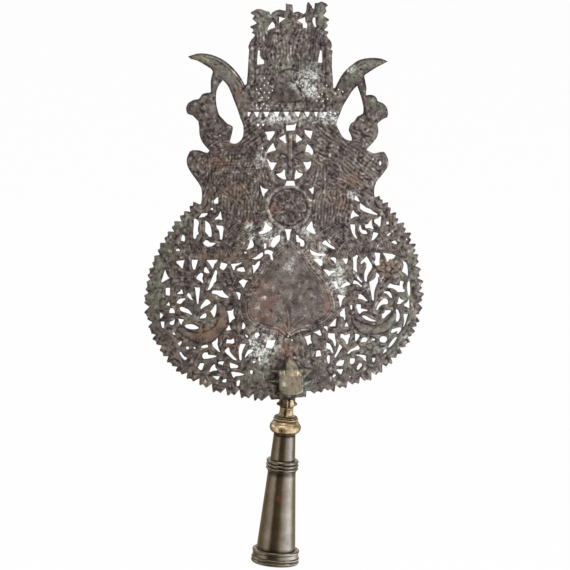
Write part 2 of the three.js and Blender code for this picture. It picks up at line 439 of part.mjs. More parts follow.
// The same on the right half
const rightScrollHoles = [
  pairs(65.3, 184.8, 66.8, 184, 68.5, 181.5, 69.5, 178.8, 68.5, 178.6, 64.5, 180.3, 64.3, 182),
  pairs(70.2, 177.7, 72, 176, 75.5, 173.2, 80.5, 171.3, 82.5, 169.2, 87, 166.8, 87.2, 165, 84, 165.7, 78, 167.2,
    73, 169.3, 69.9, 171.5),
  pairs(63.3, 170.5, 64.3, 168.5, 66.3, 166.6, 69.3, 164.6, 68.5, 163.9, 65, 163.8, 62.8, 162.7, 61.5, 161.2,
    60.4, 162.5, 61, 166, 62.2, 169),
  pairs(60.3, 156.2, 64.8, 156, 65, 153, 64.8, 149, 65.3, 146, 67.3, 142.2, 66.8, 141.5, 64.5, 143.3,
    62.3, 147, 60.7, 151.5),
  pairs(69.8, 156.3, 70.8, 154, 71.5, 151, 75.8, 149.8, 77.3, 147.5, 76.8, 146.3, 73, 146.2, 70.3, 148.3,
    69, 152),
  pairs(82, 161.5, 81.5, 158.5, 81.8, 155.5, 83.8, 151.3, 82.5, 151.2, 79.5, 152.2, 75.8, 152, 75, 154,
    75.3, 155.8, 78, 156.5, 79.5, 159),
  pairs(90, 164.3, 91.2, 163.5, 90.6, 160, 90.6, 156.5, 90, 153.8, 88.8, 153.6, 87.8, 155.3, 84.8, 157.3,
    84, 158.5, 84.3, 161, 87.5, 162),
  pairs(83.5, 148.5, 87.7, 147.5, 88.3, 146.8, 86.5, 143.5, 83.8, 140.5, 81, 139.8, 82, 142.5),
  pairs(96.3, 159, 98.5, 159, 98.8, 156, 96.3, 155.8),
  pairs(96.5, 145.5, 99.8, 147.8, 101.2, 147.3, 99.5, 145.5, 97.8, 144),
  pairs(6, 145.8, 8, 145.3, 9.3, 142.6, 13.8, 140, 14.6, 136.5, 13.5, 133.9, 10.3, 134, 10.2, 137.5, 6.6, 138.6),
  pairs(19.8, 131.3, 22, 129.8, 26, 128, 30, 127, 35.6, 126.6, 35.5, 124.6, 29, 124.2, 24.5, 124.6,
    22.3, 125.5, 20.3, 128.5),
  pairs(22.6, 121, 27, 121.8, 31.5, 121.6, 32.6, 118.5, 32.3, 115, 30.2, 114.3, 27.5, 117.2, 24.8, 119.4),
  pairs(31.7, 137.2, 34, 139.7, 35.5, 140.5, 37.8, 138, 41, 135.3, 44, 133.5, 45.5, 131.3, 43.5, 131.1,
    40, 132.6, 35, 135.3),
  pairs(39.8, 122.5, 43, 123.5, 45.8, 122.5, 46, 117.5, 45, 117, 43.5, 119.5, 41.5, 121),
  pairs(52.3, 121.5, 53, 122, 58, 122, 57.3, 119, 56.3, 116.3, 55.3, 116.5, 54, 119),
  pairs(63, 123.3, 64.5, 124, 66.3, 125.7, 68.3, 125, 66.6, 120.5, 66.5, 113, 67.2, 109.5, 67, 108, 65.5, 108.8,
    63, 110.8, 63.5, 114, 63.3, 119),
  pairs(76.5, 124.3, 78, 122.3, 79.5, 119.5, 81.5, 116.5, 82.2, 113.5, 81, 110.5, 79, 108, 77, 103.5, 76.8, 99,
    75, 98.8, 74.3, 101, 74.3, 107, 75, 110, 76.3, 112.5, 76.3, 116.3, 74, 118.8, 71.5, 116.2, 70.3, 117,
    71.3, 119.3, 73, 121),
  pairs(84.3, 128, 86, 128, 90, 127.5, 89.8, 123, 89.3, 119, 89.6, 115.3, 85.8, 114.6, 84.5, 117, 84, 119.3,
    85.3, 120.3, 85.6, 123),
  pairs(92.5, 127.6, 96, 127.3, 102, 126.5, 105.3, 125.2, 104.3, 122.5, 102, 121.2, 99, 121, 98.3, 118.8,
    96.8, 118.8, 96.3, 121.5, 94.8, 124.3),
  pairs(33, 111.3, 36.5, 111, 40, 109.6, 44.5, 109.8, 46.5, 108.3, 42, 107.2, 40.2, 105.3, 38.8, 103.8,
    37.2, 106, 34.8, 109),
  pairs(43, 99.5, 46, 99.2, 47.5, 96.5, 47.6, 92.5, 46.6, 91.2, 45.3, 93, 44.2, 96.5),
  pairs(50.6, 92.7, 51, 94.5, 53.5, 96.5, 57, 99, 58.5, 98.2, 60.3, 96.7, 60, 95.5, 56, 94.2, 53, 92.7),
  pairs(47.3, 84, 48.5, 86.2, 51.5, 85.3, 56, 84.7, 53.2, 82, 51.8, 79, 51.3, 75, 50.2, 73.5, 49.5, 77,
    49, 81),
  pairs(67.5, 104.5, 68.5, 104.3, 70, 101.5, 72.8, 98.8, 71.7, 97.8, 69.5, 99.5, 67.3, 101.5, 66.7, 103),
  pairs(63.8, 100.3, 66, 99.8, 68.5, 98.3, 70, 96.3, 72, 94.7, 71.5, 93, 69.5, 94.8, 66.5, 96.3, 62.8, 96.5),
  pairs(67.9, 81.5, 68.6, 84, 68.3, 86, 70.7, 86.5, 73.2, 84.7, 75.3, 82.2, 78.2, 79.5, 75.5, 79.3,
    72.5, 80.8),
  pairs(86.6, 108.2, 88.3, 106.6, 89.8, 104.5, 88, 102.5, 87.8, 98, 86, 94.5, 84.8, 91, 84, 87, 83.8, 80,
    82.3, 80, 81.5, 85, 80.5, 90, 79.8, 95, 79.2, 98.5, 81, 99.8, 83.5, 101, 85.3, 103),
  pairs(92.7, 87.5, 95, 89.3, 99, 89.2, 101, 87, 102.3, 82.3, 100.3, 82.8, 98.5, 85, 96.5, 86.8),
  pairs(97.7, 92.8, 97.8, 94.5, 100, 97.2, 103.5, 95.8, 109.7, 95, 110, 100, 112.5, 99.5, 113.8, 98.5,
    112.5, 95.5, 113, 92, 115, 90.3, 114, 88.3, 108, 88.2, 106, 90, 103, 92),
  pairs(112.3, 120.7, 113.5, 119.6, 116, 117.8, 117, 115.5, 117.5, 111, 117.8, 107, 117.6, 104.3, 115.5, 106.6,
    112, 108.7, 112.3, 110.3, 113.2, 113, 113.5, 116, 112.8, 118.5),
  pairs(118.8, 99.8, 119.7, 98.5, 120, 94, 120.2, 89, 119.8, 84.3, 118.3, 85.2, 117.5, 88.5, 117, 93,
    117.5, 98),
  pairs(100.8, 138.3, 102.5, 139.3, 105, 140.2, 106, 138.8, 107.3, 136.6, 105.3, 136, 102.5, 137.3)];

// Openings of the lower body, left of the star
const leftLowerHoles = [
  pairs(-121.2, 78.6, -120.3, 76.5, -120.2, 74.6, -123.9, 75.2, -122.7, 76.7),
  pairs(-119.4, 72.5, -116.8, 72.3, -115.2, 69.6, -115.2, 67.3, -120.8, 67.3, -120.4, 70),
  pairs(-129.5, 68.2, -126.6, 65.4, -128.1, 63.3, -129.5, 61.7, -130, 64.2),
  pairs(-129.3, 59, -125.6, 59, -126.2, 52.1, -127.7, 52.5, -128.9, 55.4),
  pairs(-115, 61.7, -116, 56.7, -116.8, 55.4, -119.3, 55.4, -120.8, 57.1, -119.3, 59.2, -116.8, 60),
  pairs(-116.2, 48.5, -114.1, 44.8, -117.9, 46.7),
  pairs(-108.9, 39.6, -108.3, 37.9, -110.4, 34.4, -112.5, 36.9),
  pairs(-104, 33.8, -101.5, 34, -100.8, 32, -102, 30.7, -103.7, 31.3),
  pairs(-96.5, 33.7, -94.2, 33, -95, 31.2, -96.3, 32),
  pairs(-109.5, 29, -108.1, 27.1, -106, 24.2, -102.7, 22.5, -104.3, 20.4, -106, 20.8, -108.5, 23.8,
    -110.8, 27.3),
  pairs(-110.6, 73.1, -108.5, 73.8, -106, 73.1, -101.8, 71.3, -99.8, 69, -97.7, 65.8, -98.5, 65.4,
    -101.8, 67.1, -106.4, 68.3, -109.3, 69.6),
  pairs(-112, 62.1, -105.6, 61, -107.9, 57.9, -108.5, 55.4, -110.2, 57.5),
  pairs(-105.7, 54.5, -103.5, 56, -99.5, 56.6, -96, 55.9, -92.5, 54, -91, 52.7, -92.5, 51.4, -96, 50.9,
    -100, 51.2, -103.5, 52.3),
  pairs(-89.8, 72, -88.8, 75.3, -86.5, 78, -84.5, 80.8, -82.8, 81.4, -80.8, 80.2, -79.3, 78.2, -79.6, 76.8,
    -82, 75.4, -86, 73.5, -88.5, 71.4),
  pairs(-90, 63.3, -88.3, 65.3, -85.7, 67.1, -83.8, 67.2, -83.4, 64.5, -84.5, 62.4, -87.5, 62, -90, 61.8),
  pairs(-88.8, 34, -86, 35.5, -82.5, 35.8, -82, 34.5, -82.2, 33, -86, 32.2, -88.3, 32.3),
  pairs(-87.7, 25.5, -86.4, 27.5, -85, 28.2, -82.3, 28, -81.8, 25.8, -76, 25.3, -73.1, 24.5, -73.8, 23.5,
    -78, 22.4, -82, 21.6, -86, 21.3, -87.5, 22.8),
  pairs(-75, 76, -73.7, 76, -73.7, 70, -74.8, 65.4, -76, 62.7, -77, 64.6, -79.8, 69, -77.7, 71.3, -76, 73.8),
  pairs(-63.4, 69.5, -58.6, 70.1, -56, 72, -56.8, 69, -56.6, 66, -54.8, 62.2, -57.7, 60.3, -60.2, 57.4,
    -61, 60, -61.4, 64.5, -62.2, 67.5),
  pairs(-61, 55.8, -60, 53, -58.7, 50.8, -61, 50, -63.5, 50, -63.9, 51.3, -62.3, 53.3),
  pairs(-47, 58.5, -45, 56, -44.6, 53, -46.5, 51.2, -48.2, 51.3, -47.8, 54.5),
  pairs(-72.6, 43, -72.2, 40.5, -72.6, 36.5, -71.6, 32.5, -69.6, 28, -71.4, 28.7, -74.8, 31.6, -77, 34,
    -78.2, 37.8, -75.8, 39.6, -74.2, 40.5),
  pairs(-63.1, 41.3, -59.5, 40.6, -56.2, 42.3, -55.6, 37.9, -57.3, 36.5, -61, 37.1, -63.9, 36.9),
  pairs(-61.4, 33.5, -60.8, 32, -60, 28.8, -57.7, 25.8, -55.2, 22.9, -52.7, 20.4, -54.3, 20, -56.8, 20.8,
    -60.6, 24.2, -63.5, 26.7, -65.6, 29.6, -63.3, 32.1),
  pairs(-49.5, 36.4, -44.2, 36.8, -45.2, 34.3, -46.9, 31, -48.4, 26.5, -48.5, 20.6, -49.8, 19.6, -50.8, 22,
    -51.3, 28.5, -50.8, 33),
  pairs(-40.6, 31.3, -36.4, 30.4, -38.5, 27.9, -41.8, 25.8, -44.8, 22.5, -45, 24.6, -43.9, 27.1, -42.3, 30),
  pairs(-34.8, 47.5, -31.8, 48.3, -30, 45.4, -32.3, 43.3, -33.5, 41.3, -35.2, 43.8),
  pairs(-45, 46.5, -43, 45.5, -41.8, 44, -42.8, 42.3, -44, 43.5),
  pairs(-31, 24, -29.8, 22.5, -29.4, 18.6, -30.6, 19, -31.6, 21),
  pairs(-90, 17.3, -87.5, 17.5, -85.5, 16.8, -86.8, 14, -87.5, 11.5, -88.5, 10.2, -90.3, 10.3, -91.3, 11.8,
    -92.6, 12.8, -91.3, 14.5),
  pairs(-71.8, 18.3, -70.5, 19, -66.3, 19.2, -66, 18.5, -67, 16.5, -67.3, 14.6, -68, 15.5, -71.5, 16.5),
  pairs(-76, 16.3, -75, 16, -74.6, 13, -72.3, 10.5, -73.5, 9.8, -77, 9.5, -80.3, 8, -80.6, 9.5, -79.5, 12,
    -78, 14.5),
  pairs(-60.3, 17.9, -56.5, 16.8, -52, 15, -51.8, 13.5, -52.8, 12.3, -59.5, 12, -60, 14),
  pairs(-59.2, 8.2, -57, 8.8, -50, 7.8, -46, 6.3, -45.5, 5.5, -50, 4.5, -54.5, 4, -56.3, 2.4, -57.5, 3.8,
    -58, 6),
  pairs(-78.3, 3.8, -76, 4.3, -70.3, 4.3, -71, 2.2, -72, 0.5, -74, 0.8, -75, 2.3),
  pairs(-68.3, -1, -66.5, 1, -64.5, 1.8, -63.6, 1.5, -63.7, -1, -64.5, -2.3, -66.5, -2.2),
  pairs(-53.3, -1, -51.8, 0.3, -50.2, 0.5, -49.8, -1, -50.3, -3, -51, -5.5, -52.3, -6, -53.5, -5),
  pairs(-39.7, 10.3, -37.5, 10.3, -37.2, 8, -38, 6, -39, 6, -39.8, 7.5),
  pairs(-37, 19.5, -35, 19.8, -35, 18, -36, 17, -37, 17.5)];

// The same right of the star
const rightLowerHoles = [
  pairs(-22.4, 41.2, -18.5, 40.3, -14.2, 41, -15.8, 36.8, -16.8, 33.4, -18.5, 31.6, -24.6, 32.8, -23.4, 37.3),
  pairs(14.3, 43.8, 20.6, 45.6, 20.4, 41.5, 22, 37.2, 19.2, 36.4, 17.8, 34.6, 16.8, 38, 15.7, 41.3),
  pairs(23, 48.4, 26.5, 49.2, 29.8, 50.8, 30.6, 48.5, 31.8, 45, 29.5, 44.8, 26.5, 46.7),
  pairs(26.5, 29.6, 28.2, 30.4, 30.3, 30, 31.3, 24.2, 25.5, 23.5),
  pairs(33.5, 53.2, 34.5, 54.3, 37.4, 54.2, 37.6, 51.5, 37.2, 49, 36.4, 50.5, 35, 52),
  pairs(39.4, 55, 41.9, 58, 44.5, 61, 46.6, 62.3, 45.7, 59, 45.4, 54.1, 39.8, 53.9),
  pairs(50, 68, 52.2, 70.2, 54.5, 73, 55, 68, 55.4, 63, 54.9, 60.2, 54.1, 60.5, 53.6, 63, 50, 64.3),
  pairs(54.4, 53.8, 55, 55.5, 55.9, 57.8, 57, 58, 58.6, 53.8),
  pairs(60.4, 75.5, 62, 75.8, 62.3, 72, 61.3, 70.3, 60.4, 72),
  pairs(66.3, 76.3, 70.7, 76.3, 70.9, 72.1, 73.6, 71.7, 77.3, 70.8, 77.3, 69.2, 74, 69.2, 71.5, 68.3,
    69.8, 66.3, 68.2, 67.9, 66.7, 72.1),
  pairs(72.8, 65.2, 75.7, 64.8, 78.2, 63.3, 81.1, 61.7, 85.7, 60, 87.3, 59.6, 84, 58.8, 80.3, 59.2,
    76.5, 60.4, 74, 62.1, 71.9, 64.2),
  pairs(86.3, 70.4, 87, 74, 88.8, 77.3, 91.3, 80, 94, 82.4, 96.3, 82, 97.8, 80.2, 98, 77.5, 97.5, 76, 94, 76,
    91.1, 75.2, 89.2, 73.2, 87.3, 70),
  pairs(91.8, 66.5, 94.2, 67.6, 95.2, 70.3, 100.5, 70.6, 101, 69.3, 99.3, 67, 96.4, 64.5, 94.2, 61.9, 92.5, 62),
  pairs(38.4, 47.3, 44.8, 47.1, 45, 42.5, 46.1, 38.3, 45.7, 34.6, 44.8, 33.8, 44, 36.7, 42.3, 40, 39.4, 41.9,
    38, 43.3),
  pairs(36.5, 37.9, 39.4, 37.1, 41.1, 34.6, 42.3, 31.3, 43.4, 27.5, 42.3, 27.1, 40.3, 30.4, 37.3, 31.5,
    35.9, 32.1, 36.5, 35),
  pairs(49.4, 36.3, 51.5, 34.6, 52.1, 32.9, 50.3, 30.4, 48.6, 27.5, 46.1, 23.3, 44.8, 22.5, 44.6, 25,
    46.1, 27.5, 47.3, 30.4, 48.6, 33.8),
  pairs(50.7, 46.7, 52.8, 46.7, 54.4, 45.4, 57.3, 45.8, 59.8, 47.1, 59.8, 43.3, 58.6, 41.7, 58.2, 37.9,
    57.3, 35.8, 56.3, 36.3, 55.3, 39.2, 52.8, 41.7, 50.3, 42.9),
  pairs(65.3, 46.9, 69, 46.3, 69.6, 44.2, 67.8, 41.3, 65.7, 38.8, 65, 40.8),
  pairs(70.3, 38, 72.3, 42.5, 74, 43.3, 76.5, 43, 77.8, 41.5, 76.1, 38.3),
  pairs(82.3, 42, 84.8, 42, 85, 39.8, 82.5, 39.7),
  pairs(89.4, 41.3, 90.7, 43.8, 93.6, 44.6, 96.5, 43.5, 97.3, 40.5, 95.5, 38, 94, 37.5, 90.3, 38.3),
  pairs(57, 26.8, 58.5, 29, 61, 31.4, 64.8, 33, 68, 35.3, 69.8, 33, 69, 30.6, 64.5, 29.9, 61, 28.6,
    58.8, 26.3),
  pairs(66.3, 25.9, 70.3, 25.9, 74.4, 25.4, 76.1, 24.2, 75.7, 21.7, 76.5, 18.8, 74, 20.4, 72.3, 22.5,
    69.4, 24.2, 66.9, 24.6),
  pairs(105.7, 43.5, 107.4, 43, 105.3, 39.6, 103.2, 36.7, 101.1, 34.2, 98.6, 32.7, 98.2, 33.6, 100.3, 37.5,
    102.3, 40.8),
  pairs(93, 26.5, 93.5, 29, 95, 31.3, 97, 31.5, 96.3, 29, 94.5, 27.5),
  pairs(108.8, 53.3, 111.5, 53, 110.5, 49.5, 108.3, 46.8, 106.8, 46.5, 107.5, 49.5, 105, 48.3, 102, 47.2,
    100.6, 48.3, 102.3, 51.5, 105.5, 52.2),
  pairs(106.5, 71.9, 108.4, 70, 109.6, 66.3, 109.6, 62.5, 108.6, 60, 106.9, 58.1, 106.1, 60, 106.5, 66.3,
    105.7, 70),
  pairs(113.6, 66.7, 118, 66.5, 116.9, 63.3, 115.7, 58.3, 114, 54.2, 112.9, 52.6, 113.6, 55.4, 114.2, 59.2,
    114, 62.9),
  pairs(109.6, 84, 110, 82, 112, 80.8, 114.8, 80, 112.3, 78.2, 110, 76.2, 107, 76.2, 107.8, 79, 108.5, 81.5),
  pairs(118.9, 81.3, 119.3, 76, 119.2, 71.9, 117.3, 72.9, 114, 74.6, 114.4, 76.3, 117.3, 78.8),
  pairs(60, 22.3, 64.5, 22.3, 65.2, 20.5, 64.3, 18, 63, 16.3, 61, 16, 59.8, 17.5),
  pairs(37.8, 25.5, 39.8, 25, 39.8, 20, 39.5, 17.5, 38.5, 16.3, 37.6, 18, 36.5, 22.5),
  pairs(50.5, 20.3, 54.3, 20.5, 53.8, 17.5, 52.8, 15, 51.5, 14.4, 46.5, 14.6, 45.8, 16, 47.5, 18.5),
  pairs(46, 10.8, 48, 11.3, 52.8, 11.3, 53, 10.3, 52, 8, 51.3, 6, 50.3, 6, 48.5, 8),
  pairs(82.5, 22.8, 85.5, 22.5, 85, 20.3, 84.3, 18.5, 82.8, 18.3, 82.3, 20.5),
  pairs(67.3, 14.5, 69.5, 17.4, 71.8, 17, 72, 14.5, 70.5, 13, 69.5, 11.5, 67.8, 10.2, 66.8, 11),
  pairs(42.6, 2.8, 44.3, 3, 46.3, 5.3, 45.3, 6.3, 43.3, 6, 42.6, 4.5)];

function piercedPlate() {
  const shape = new THREE.Shape(outline.map(onPlate));
  const holes = [
    ...loops, ...towerHoles, ...triangles.map(triangleHole), ...dots.map(dotHole), ...flowerHoles,
    ...leftScrollHoles, ...rightScrollHoles, ...leftLowerHoles, ...rightLowerHoles];
  for (const hole of holes) shape.holes.push(new THREE.Path(hole.map(onPlate)));
  const rivetHole = new THREE.Path().absarc(0, 0, RIVET_RADIUS + BORE_CLEARANCE, 0, Math.PI * 2);
  shape.holes.push(rivetHole);
  return sheet(shape, PLATE_THICKNESS);
}

// The neck's frame: +Z runs up its leaning axis, and its zero is level with the rivet
const neck = new THREE.Group();
neck.position.x = NECK_OFFSET;
neck.rotation.y = NECK_LEAN;
neck.updateMatrix();
const intoNeck = neck.matrix.clone().invert();

function inNeck(across, up) {
  return new THREE.Vector3(across, 0, up).applyMatrix4(intoNeck);
}

const rivetInNeck = inNeck(0, 0);
const [tabLeft, tabRight] = [TAB_LEFT, TAB_RIGHT].map(onPlate).map((p) => inNeck(p.x, p.y));
const tabSlope = (tabRight.z - tabLeft.z) / (tabRight.x - tabLeft.x);
const tabFootAtCheek = Math.min(...[-CHEEK_HALF_WIDTH, CHEEK_HALF_WIDTH]
  .map((x) => tabLeft.z + tabSlope * (x - tabLeft.x)));

// Levels along the axis, from the bottom of the fork's slot down to the socket's mouth
const crotch = tabFootAtCheek - SEAT_GAP;
const shoulder = crotch - CROTCH_DEPTH;
const collarTop = shoulder - SEAT_GAP;
const collarFoot = collarTop - COLLAR_HEIGHT;
const balusterTop = collarFoot - SEAT_GAP;
const balusterFoot = balusterTop - BALUSTER_HEIGHT;
const knopTop = balusterFoot - SEAT_GAP;
const knopFoot = knopTop - KNOP_HEIGHT;
const upperTop = knopFoot - SEAT_GAP;
const plugFoot = upperTop - TOP_PLUG_DEPTH;
const pinLevel = upperTop - TOP_PLUG_DEPTH * PIN_DROP_SHARE;
const middleTop = upperTop - UPPER_TUBE_HEIGHT;
const upperFoot = middleTop - SPIGOT_LENGTH;
const lowerSpigotTop = upperFoot - SEAT_GAP;
const middleFoot = middleTop - MIDDLE_COLLAR_HEIGHT;
const lowerTop = middleFoot - SEAT_GAP;
const mouthTop = lowerTop - LOWER_TUBE_HEIGHT;
const mouthFoot = mouthTop - MOUTH_COLLAR_HEIGHT;
const lowerFoot = mouthFoot + MOUTH_LIP_THICKNESS + SEAT_GAP;

const boreRadius = SHANK_RADIUS + BORE_CLEARANCE;
const plateFace = PLATE_THICKNESS / 2 + SEAT_GAP;
const cheekFace = plateFace + CHEEK_THICKNESS;
const starFace = plateFace + STAR_HEIGHT;

function rivetBore(length) {
  return rod(RIVET_RADIUS + BORE_CLEARANCE, length);
}

function cheekShape(margin) {
  const half = CHEEK_HALF_WIDTH + margin;
  const topHalf = CHEEK_TOP_HALF_WIDTH + margin;
  const shape = new THREE.Shape();
  shape.moveTo(-half, shoulder);
  shape.lineTo(half, shoulder);
  shape.lineTo(half, -CHEEK_SHOULDER_DROP);
  shape.lineTo(rivetInNeck.x + topHalf, rivetInNeck.z);
  shape.absarc(rivetInNeck.x, rivetInNeck.z, topHalf, 0, Math.PI);
  shape.lineTo(-half, -CHEEK_SHOULDER_DROP);
  return shape;
}

// A rod across the neck's axis at the pin's level
function pinRod(radius, length) {
  return rod(radius, length).rotateZ(PIN_TURN).translate(0, 0, pinLevel);
}

function pinBore() {
  return pinRod(PIN_RADIUS + BORE_CLEARANCE, (UPPER_FOOT_RADIUS + CUT_OVERRUN) * 2);
}

function forkShank() {
  const roomHeight = rivetInNeck.z + CHEEK_TOP_HALF_WIDTH + CUT_OVERRUN - crotch;
  const tabRoom = new THREE.BoxGeometry((CHEEK_HALF_WIDTH + CUT_OVERRUN) * 2, plateFace * 2, roomHeight);
  tabRoom.translate(0, 0, crotch + roomHeight / 2);
  const shankTop = shoulder + CROTCH_DEPTH / 2;
  const shankFoot = plugFoot - SHANK_END;
  const shank = rod(SHANK_RADIUS, shankTop - shankFoot).rotateX(Math.PI / 2);
  shank.translate(0, 0, (shankTop + shankFoot) / 2);
  const bore = rivetBore((cheekFace + CUT_OVERRUN) * 2).translate(rivetInNeck.x, 0, rivetInNeck.z);
  const fork = solid(sheet(cheekShape(0), cheekFace * 2)).subtract(solid(tabRoom)).add(solid(shank));
  return geometryOf(fork.subtract(solid(bore)).subtract(solid(pinBore())));
}

// Where a ray from the face's centre leaves its rectangle
function onStarFace(towards) {
  const across = Math.abs(towards.x) / STAR_FACE_HALF_WIDTH;
  const up = Math.abs(towards.y) / STAR_FACE_HALF_HEIGHT;
  return towards.clone().divideScalar(Math.max(across, up));
}

// A star on the front: a low rim of eight points, and facets up to the raised face
function starGeometry() {
  const tips = STAR_TIPS.map(([x, y]) => new THREE.Vector2(x - STAR_FACE_CENTRE, y));
  const spokes = tips.flatMap((tip, i) => {
    const next = tips[(i + 1) % tips.length];
    const middle = tip.clone().normalize().add(next.clone().normalize());
    return [tip, onStarFace(middle).multiplyScalar(STAR_NOTCH_SHARE)];
  });
  const faces = spokes.map(onStarFace);
  const rings = [[spokes, plateFace], [spokes, plateFace + STAR_RIM], [faces, starFace]];
  const positions = rings.flatMap(([ring, y]) => ring.flatMap((p) => [p.x + STAR_FACE_CENTRE, -y, p.y]));
  positions.push(STAR_FACE_CENTRE, -plateFace, 0, STAR_FACE_CENTRE, -starFace, 0);
  const count = spokes.length;
  const [back, front] = [count * 3, count * 3 + 1];
  const index = [];
  for (let i = 0; i < count; i += 1) {
    const j = (i + 1) % count;
    index.push(back, i, j, front, count * 2 + j, count * 2 + i);
    for (const ring of [0, count]) {
      index.push(ring + i, ring + count + j, ring + j);
      index.push(ring + i, ring + count + i, ring + count + j);
    }
  }
  const geometry = new THREE.BufferGeometry();
  geometry.setAttribute('position', new THREE.BufferAttribute(new Float32Array(positions), 3));
  geometry.setIndex(index);
  return geometry;
}

// A star with the groove on its back that the cheek lies in, and its rivet hole
function boredStar(star, boreDepth) {
  const groove = sheet(cheekShape(SEAT_GAP), (cheekFace + SEAT_GAP) * 2).applyMatrix4(neck.matrix);
  return geometryOf(star.subtract(solid(groove)).subtract(solid(rivetBore(boreDepth * 2))));
}

function frontStar() {
  return boredStar(solid(starGeometry()), plateFace + RIVET_DEPTH_IN_STAR + SEAT_GAP);
}

function rearStar() {
  return boredStar(solid(starGeometry()).mirror([0, 1, 0]), starFace + CUT_OVERRUN);
}

function bossRivet() {
  const end = -plateFace - RIVET_DEPTH_IN_STAR;
  const headFoot = starFace + SEAT_GAP;
  const headTop = headFoot + RIVET_HEAD_HEIGHT;
  const path = new THREE.Path();
  path.moveTo(0, end);
  path.lineTo(RIVET_RADIUS, end);
  path.lineTo(RIVET_RADIUS, headFoot);
  path.lineTo(RIVET_HEAD_RADIUS, headFoot);
  path.quadraticCurveTo(RIVET_HEAD_RADIUS, headTop, 0, headTop);
  return new THREE.LatheGeometry(path.getPoints(PROFILE_STEPS), ROUND_SIDES);
}

function leafCollar() {
  const path = new THREE.Path();
  path.moveTo(boreRadius, collarFoot);
  path.lineTo(COLLAR_FOOT_RADIUS - EDGE_ROUND / 2, collarFoot);
  path.lineTo(COLLAR_FOOT_RADIUS, collarFoot + EDGE_ROUND / 2);
  path.quadraticCurveTo(COLLAR_FOOT_RADIUS, collarFoot + COLLAR_HEIGHT / 2, COLLAR_TOP_RADIUS, collarTop);
  path.lineTo(boreRadius, collarTop);
  path.closePath();
  let collar = solid(turned(path));
  for (let i = 0; i < CURL_COUNT; i += 1) {
    const curl = new THREE.SphereGeometry(CURL_RADIUS, CURL_SIDES, CURL_SIDES / 2).rotateX(Math.PI / 2);
    curl.translate(CURL_REACH - CURL_RADIUS / 2, 0, collarTop - CURL_DROP);
    curl.rotateZ((i / CURL_COUNT) * Math.PI * 2);
    collar = collar.add(solid(curl));
  }
  return geometryOf(collar);
}

function neckBaluster() {
  const lipFoot = balusterFoot + LIP_HEIGHT;
  const ringTop = lipFoot + RING_HEIGHT;
  const waist = (STEM_RADIUS + RING_RADIUS) / 2;
  const path = new THREE.Path();
  path.moveTo(boreRadius, balusterFoot);
  path.lineTo(LIP_RADIUS - EDGE_ROUND / 2, balusterFoot);
  path.lineTo(LIP_RADIUS, balusterFoot + EDGE_ROUND / 2);
  path.lineTo(LIP_RADIUS, lipFoot - EDGE_ROUND / 2);
  path.lineTo(LIP_RADIUS - EDGE_ROUND * 2, lipFoot);
  path.quadraticCurveTo(RING_RADIUS + EDGE_ROUND, (lipFoot + ringTop) / 2, RING_RADIUS - EDGE_ROUND, ringTop);
  path.lineTo(waist, ringTop + EDGE_ROUND / 2);
  path.quadraticCurveTo(STEM_RADIUS, ringTop + EDGE_ROUND, STEM_RADIUS, (ringTop + balusterTop) / 2);
  path.lineTo(STEM_RADIUS, balusterTop);
  path.lineTo(boreRadius, balusterTop);
  path.closePath();
  return turned(path);
}

function knop() {
  const widest = knopTop - KNOP_WIDEST_DROP;
  const path = new THREE.Path();
  path.moveTo(boreRadius, knopFoot);
  path.lineTo(KNOP_FOOT_RADIUS, knopFoot);
  path.quadraticCurveTo(KNOP_RADIUS, knopFoot + EDGE_ROUND * 2, KNOP_RADIUS, widest);
  path.quadraticCurveTo(KNOP_RADIUS, knopTop - EDGE_ROUND / 2, KNOP_TOP_RADIUS, knopTop);
  path.lineTo(boreRadius, knopTop);
  path.closePath();
  return turned(path);
}

const upperTaper = (UPPER_FOOT_RADIUS - UPPER_TOP_RADIUS) / UPPER_TUBE_HEIGHT;

function shankPin() {
  const tubeRadius = UPPER_TOP_RADIUS + upperTaper * (upperTop - pinLevel);
  return pinRod(PIN_RADIUS, tubeRadius * 2);
}

function upperTube() {
  const path = new THREE.Path();
  const plugRadius = UPPER_TOP_RADIUS - UPPER_WALL;
  path.moveTo(UPPER_FOOT_RADIUS - UPPER_WALL, upperFoot);
  path.lineTo(UPPER_FOOT_RADIUS, upperFoot);
  path.lineTo(UPPER_FOOT_RADIUS, middleTop);
  path.lineTo(UPPER_TOP_RADIUS, upperTop - EDGE_ROUND / 2);
  path.lineTo(UPPER_TOP_RADIUS - EDGE_ROUND / 2, upperTop);
  path.lineTo(boreRadius, upperTop);
  path.lineTo(boreRadius, plugFoot);
  path.lineTo(plugRadius, plugFoot);
  path.closePath();
  return geometryOf(solid(turned(path)).subtract(solid(pinBore())));
}

// Bulges of the given reach that run up from one level to another. The handles of a cubic curve
// stand a third further out than its middle.
function addBeads(path, innerRadius, reach, from, to, count) {
  const pull = innerRadius + (reach - innerRadius) * (4 / 3);
  const step = (to - from) / count;
  for (let i = 0; i < count; i += 1) {
    const low = from + i * step;
    path.bezierCurveTo(pull, low, pull, low + step, innerRadius, low + step);
  }
}

function middleCollar() {
  const bore = UPPER_FOOT_RADIUS + BORE_CLEARANCE;
  const valley = MIDDLE_COLLAR_RADIUS - BEAD_DEPTH;
  const path = new THREE.Path();
  path.moveTo(bore, middleFoot);
  path.lineTo(valley, middleFoot);
  addBeads(path, valley, MIDDLE_COLLAR_RADIUS, middleFoot, middleTop, MIDDLE_BEADS);
  path.lineTo(bore, middleTop);
  path.closePath();
  return turned(path);
}

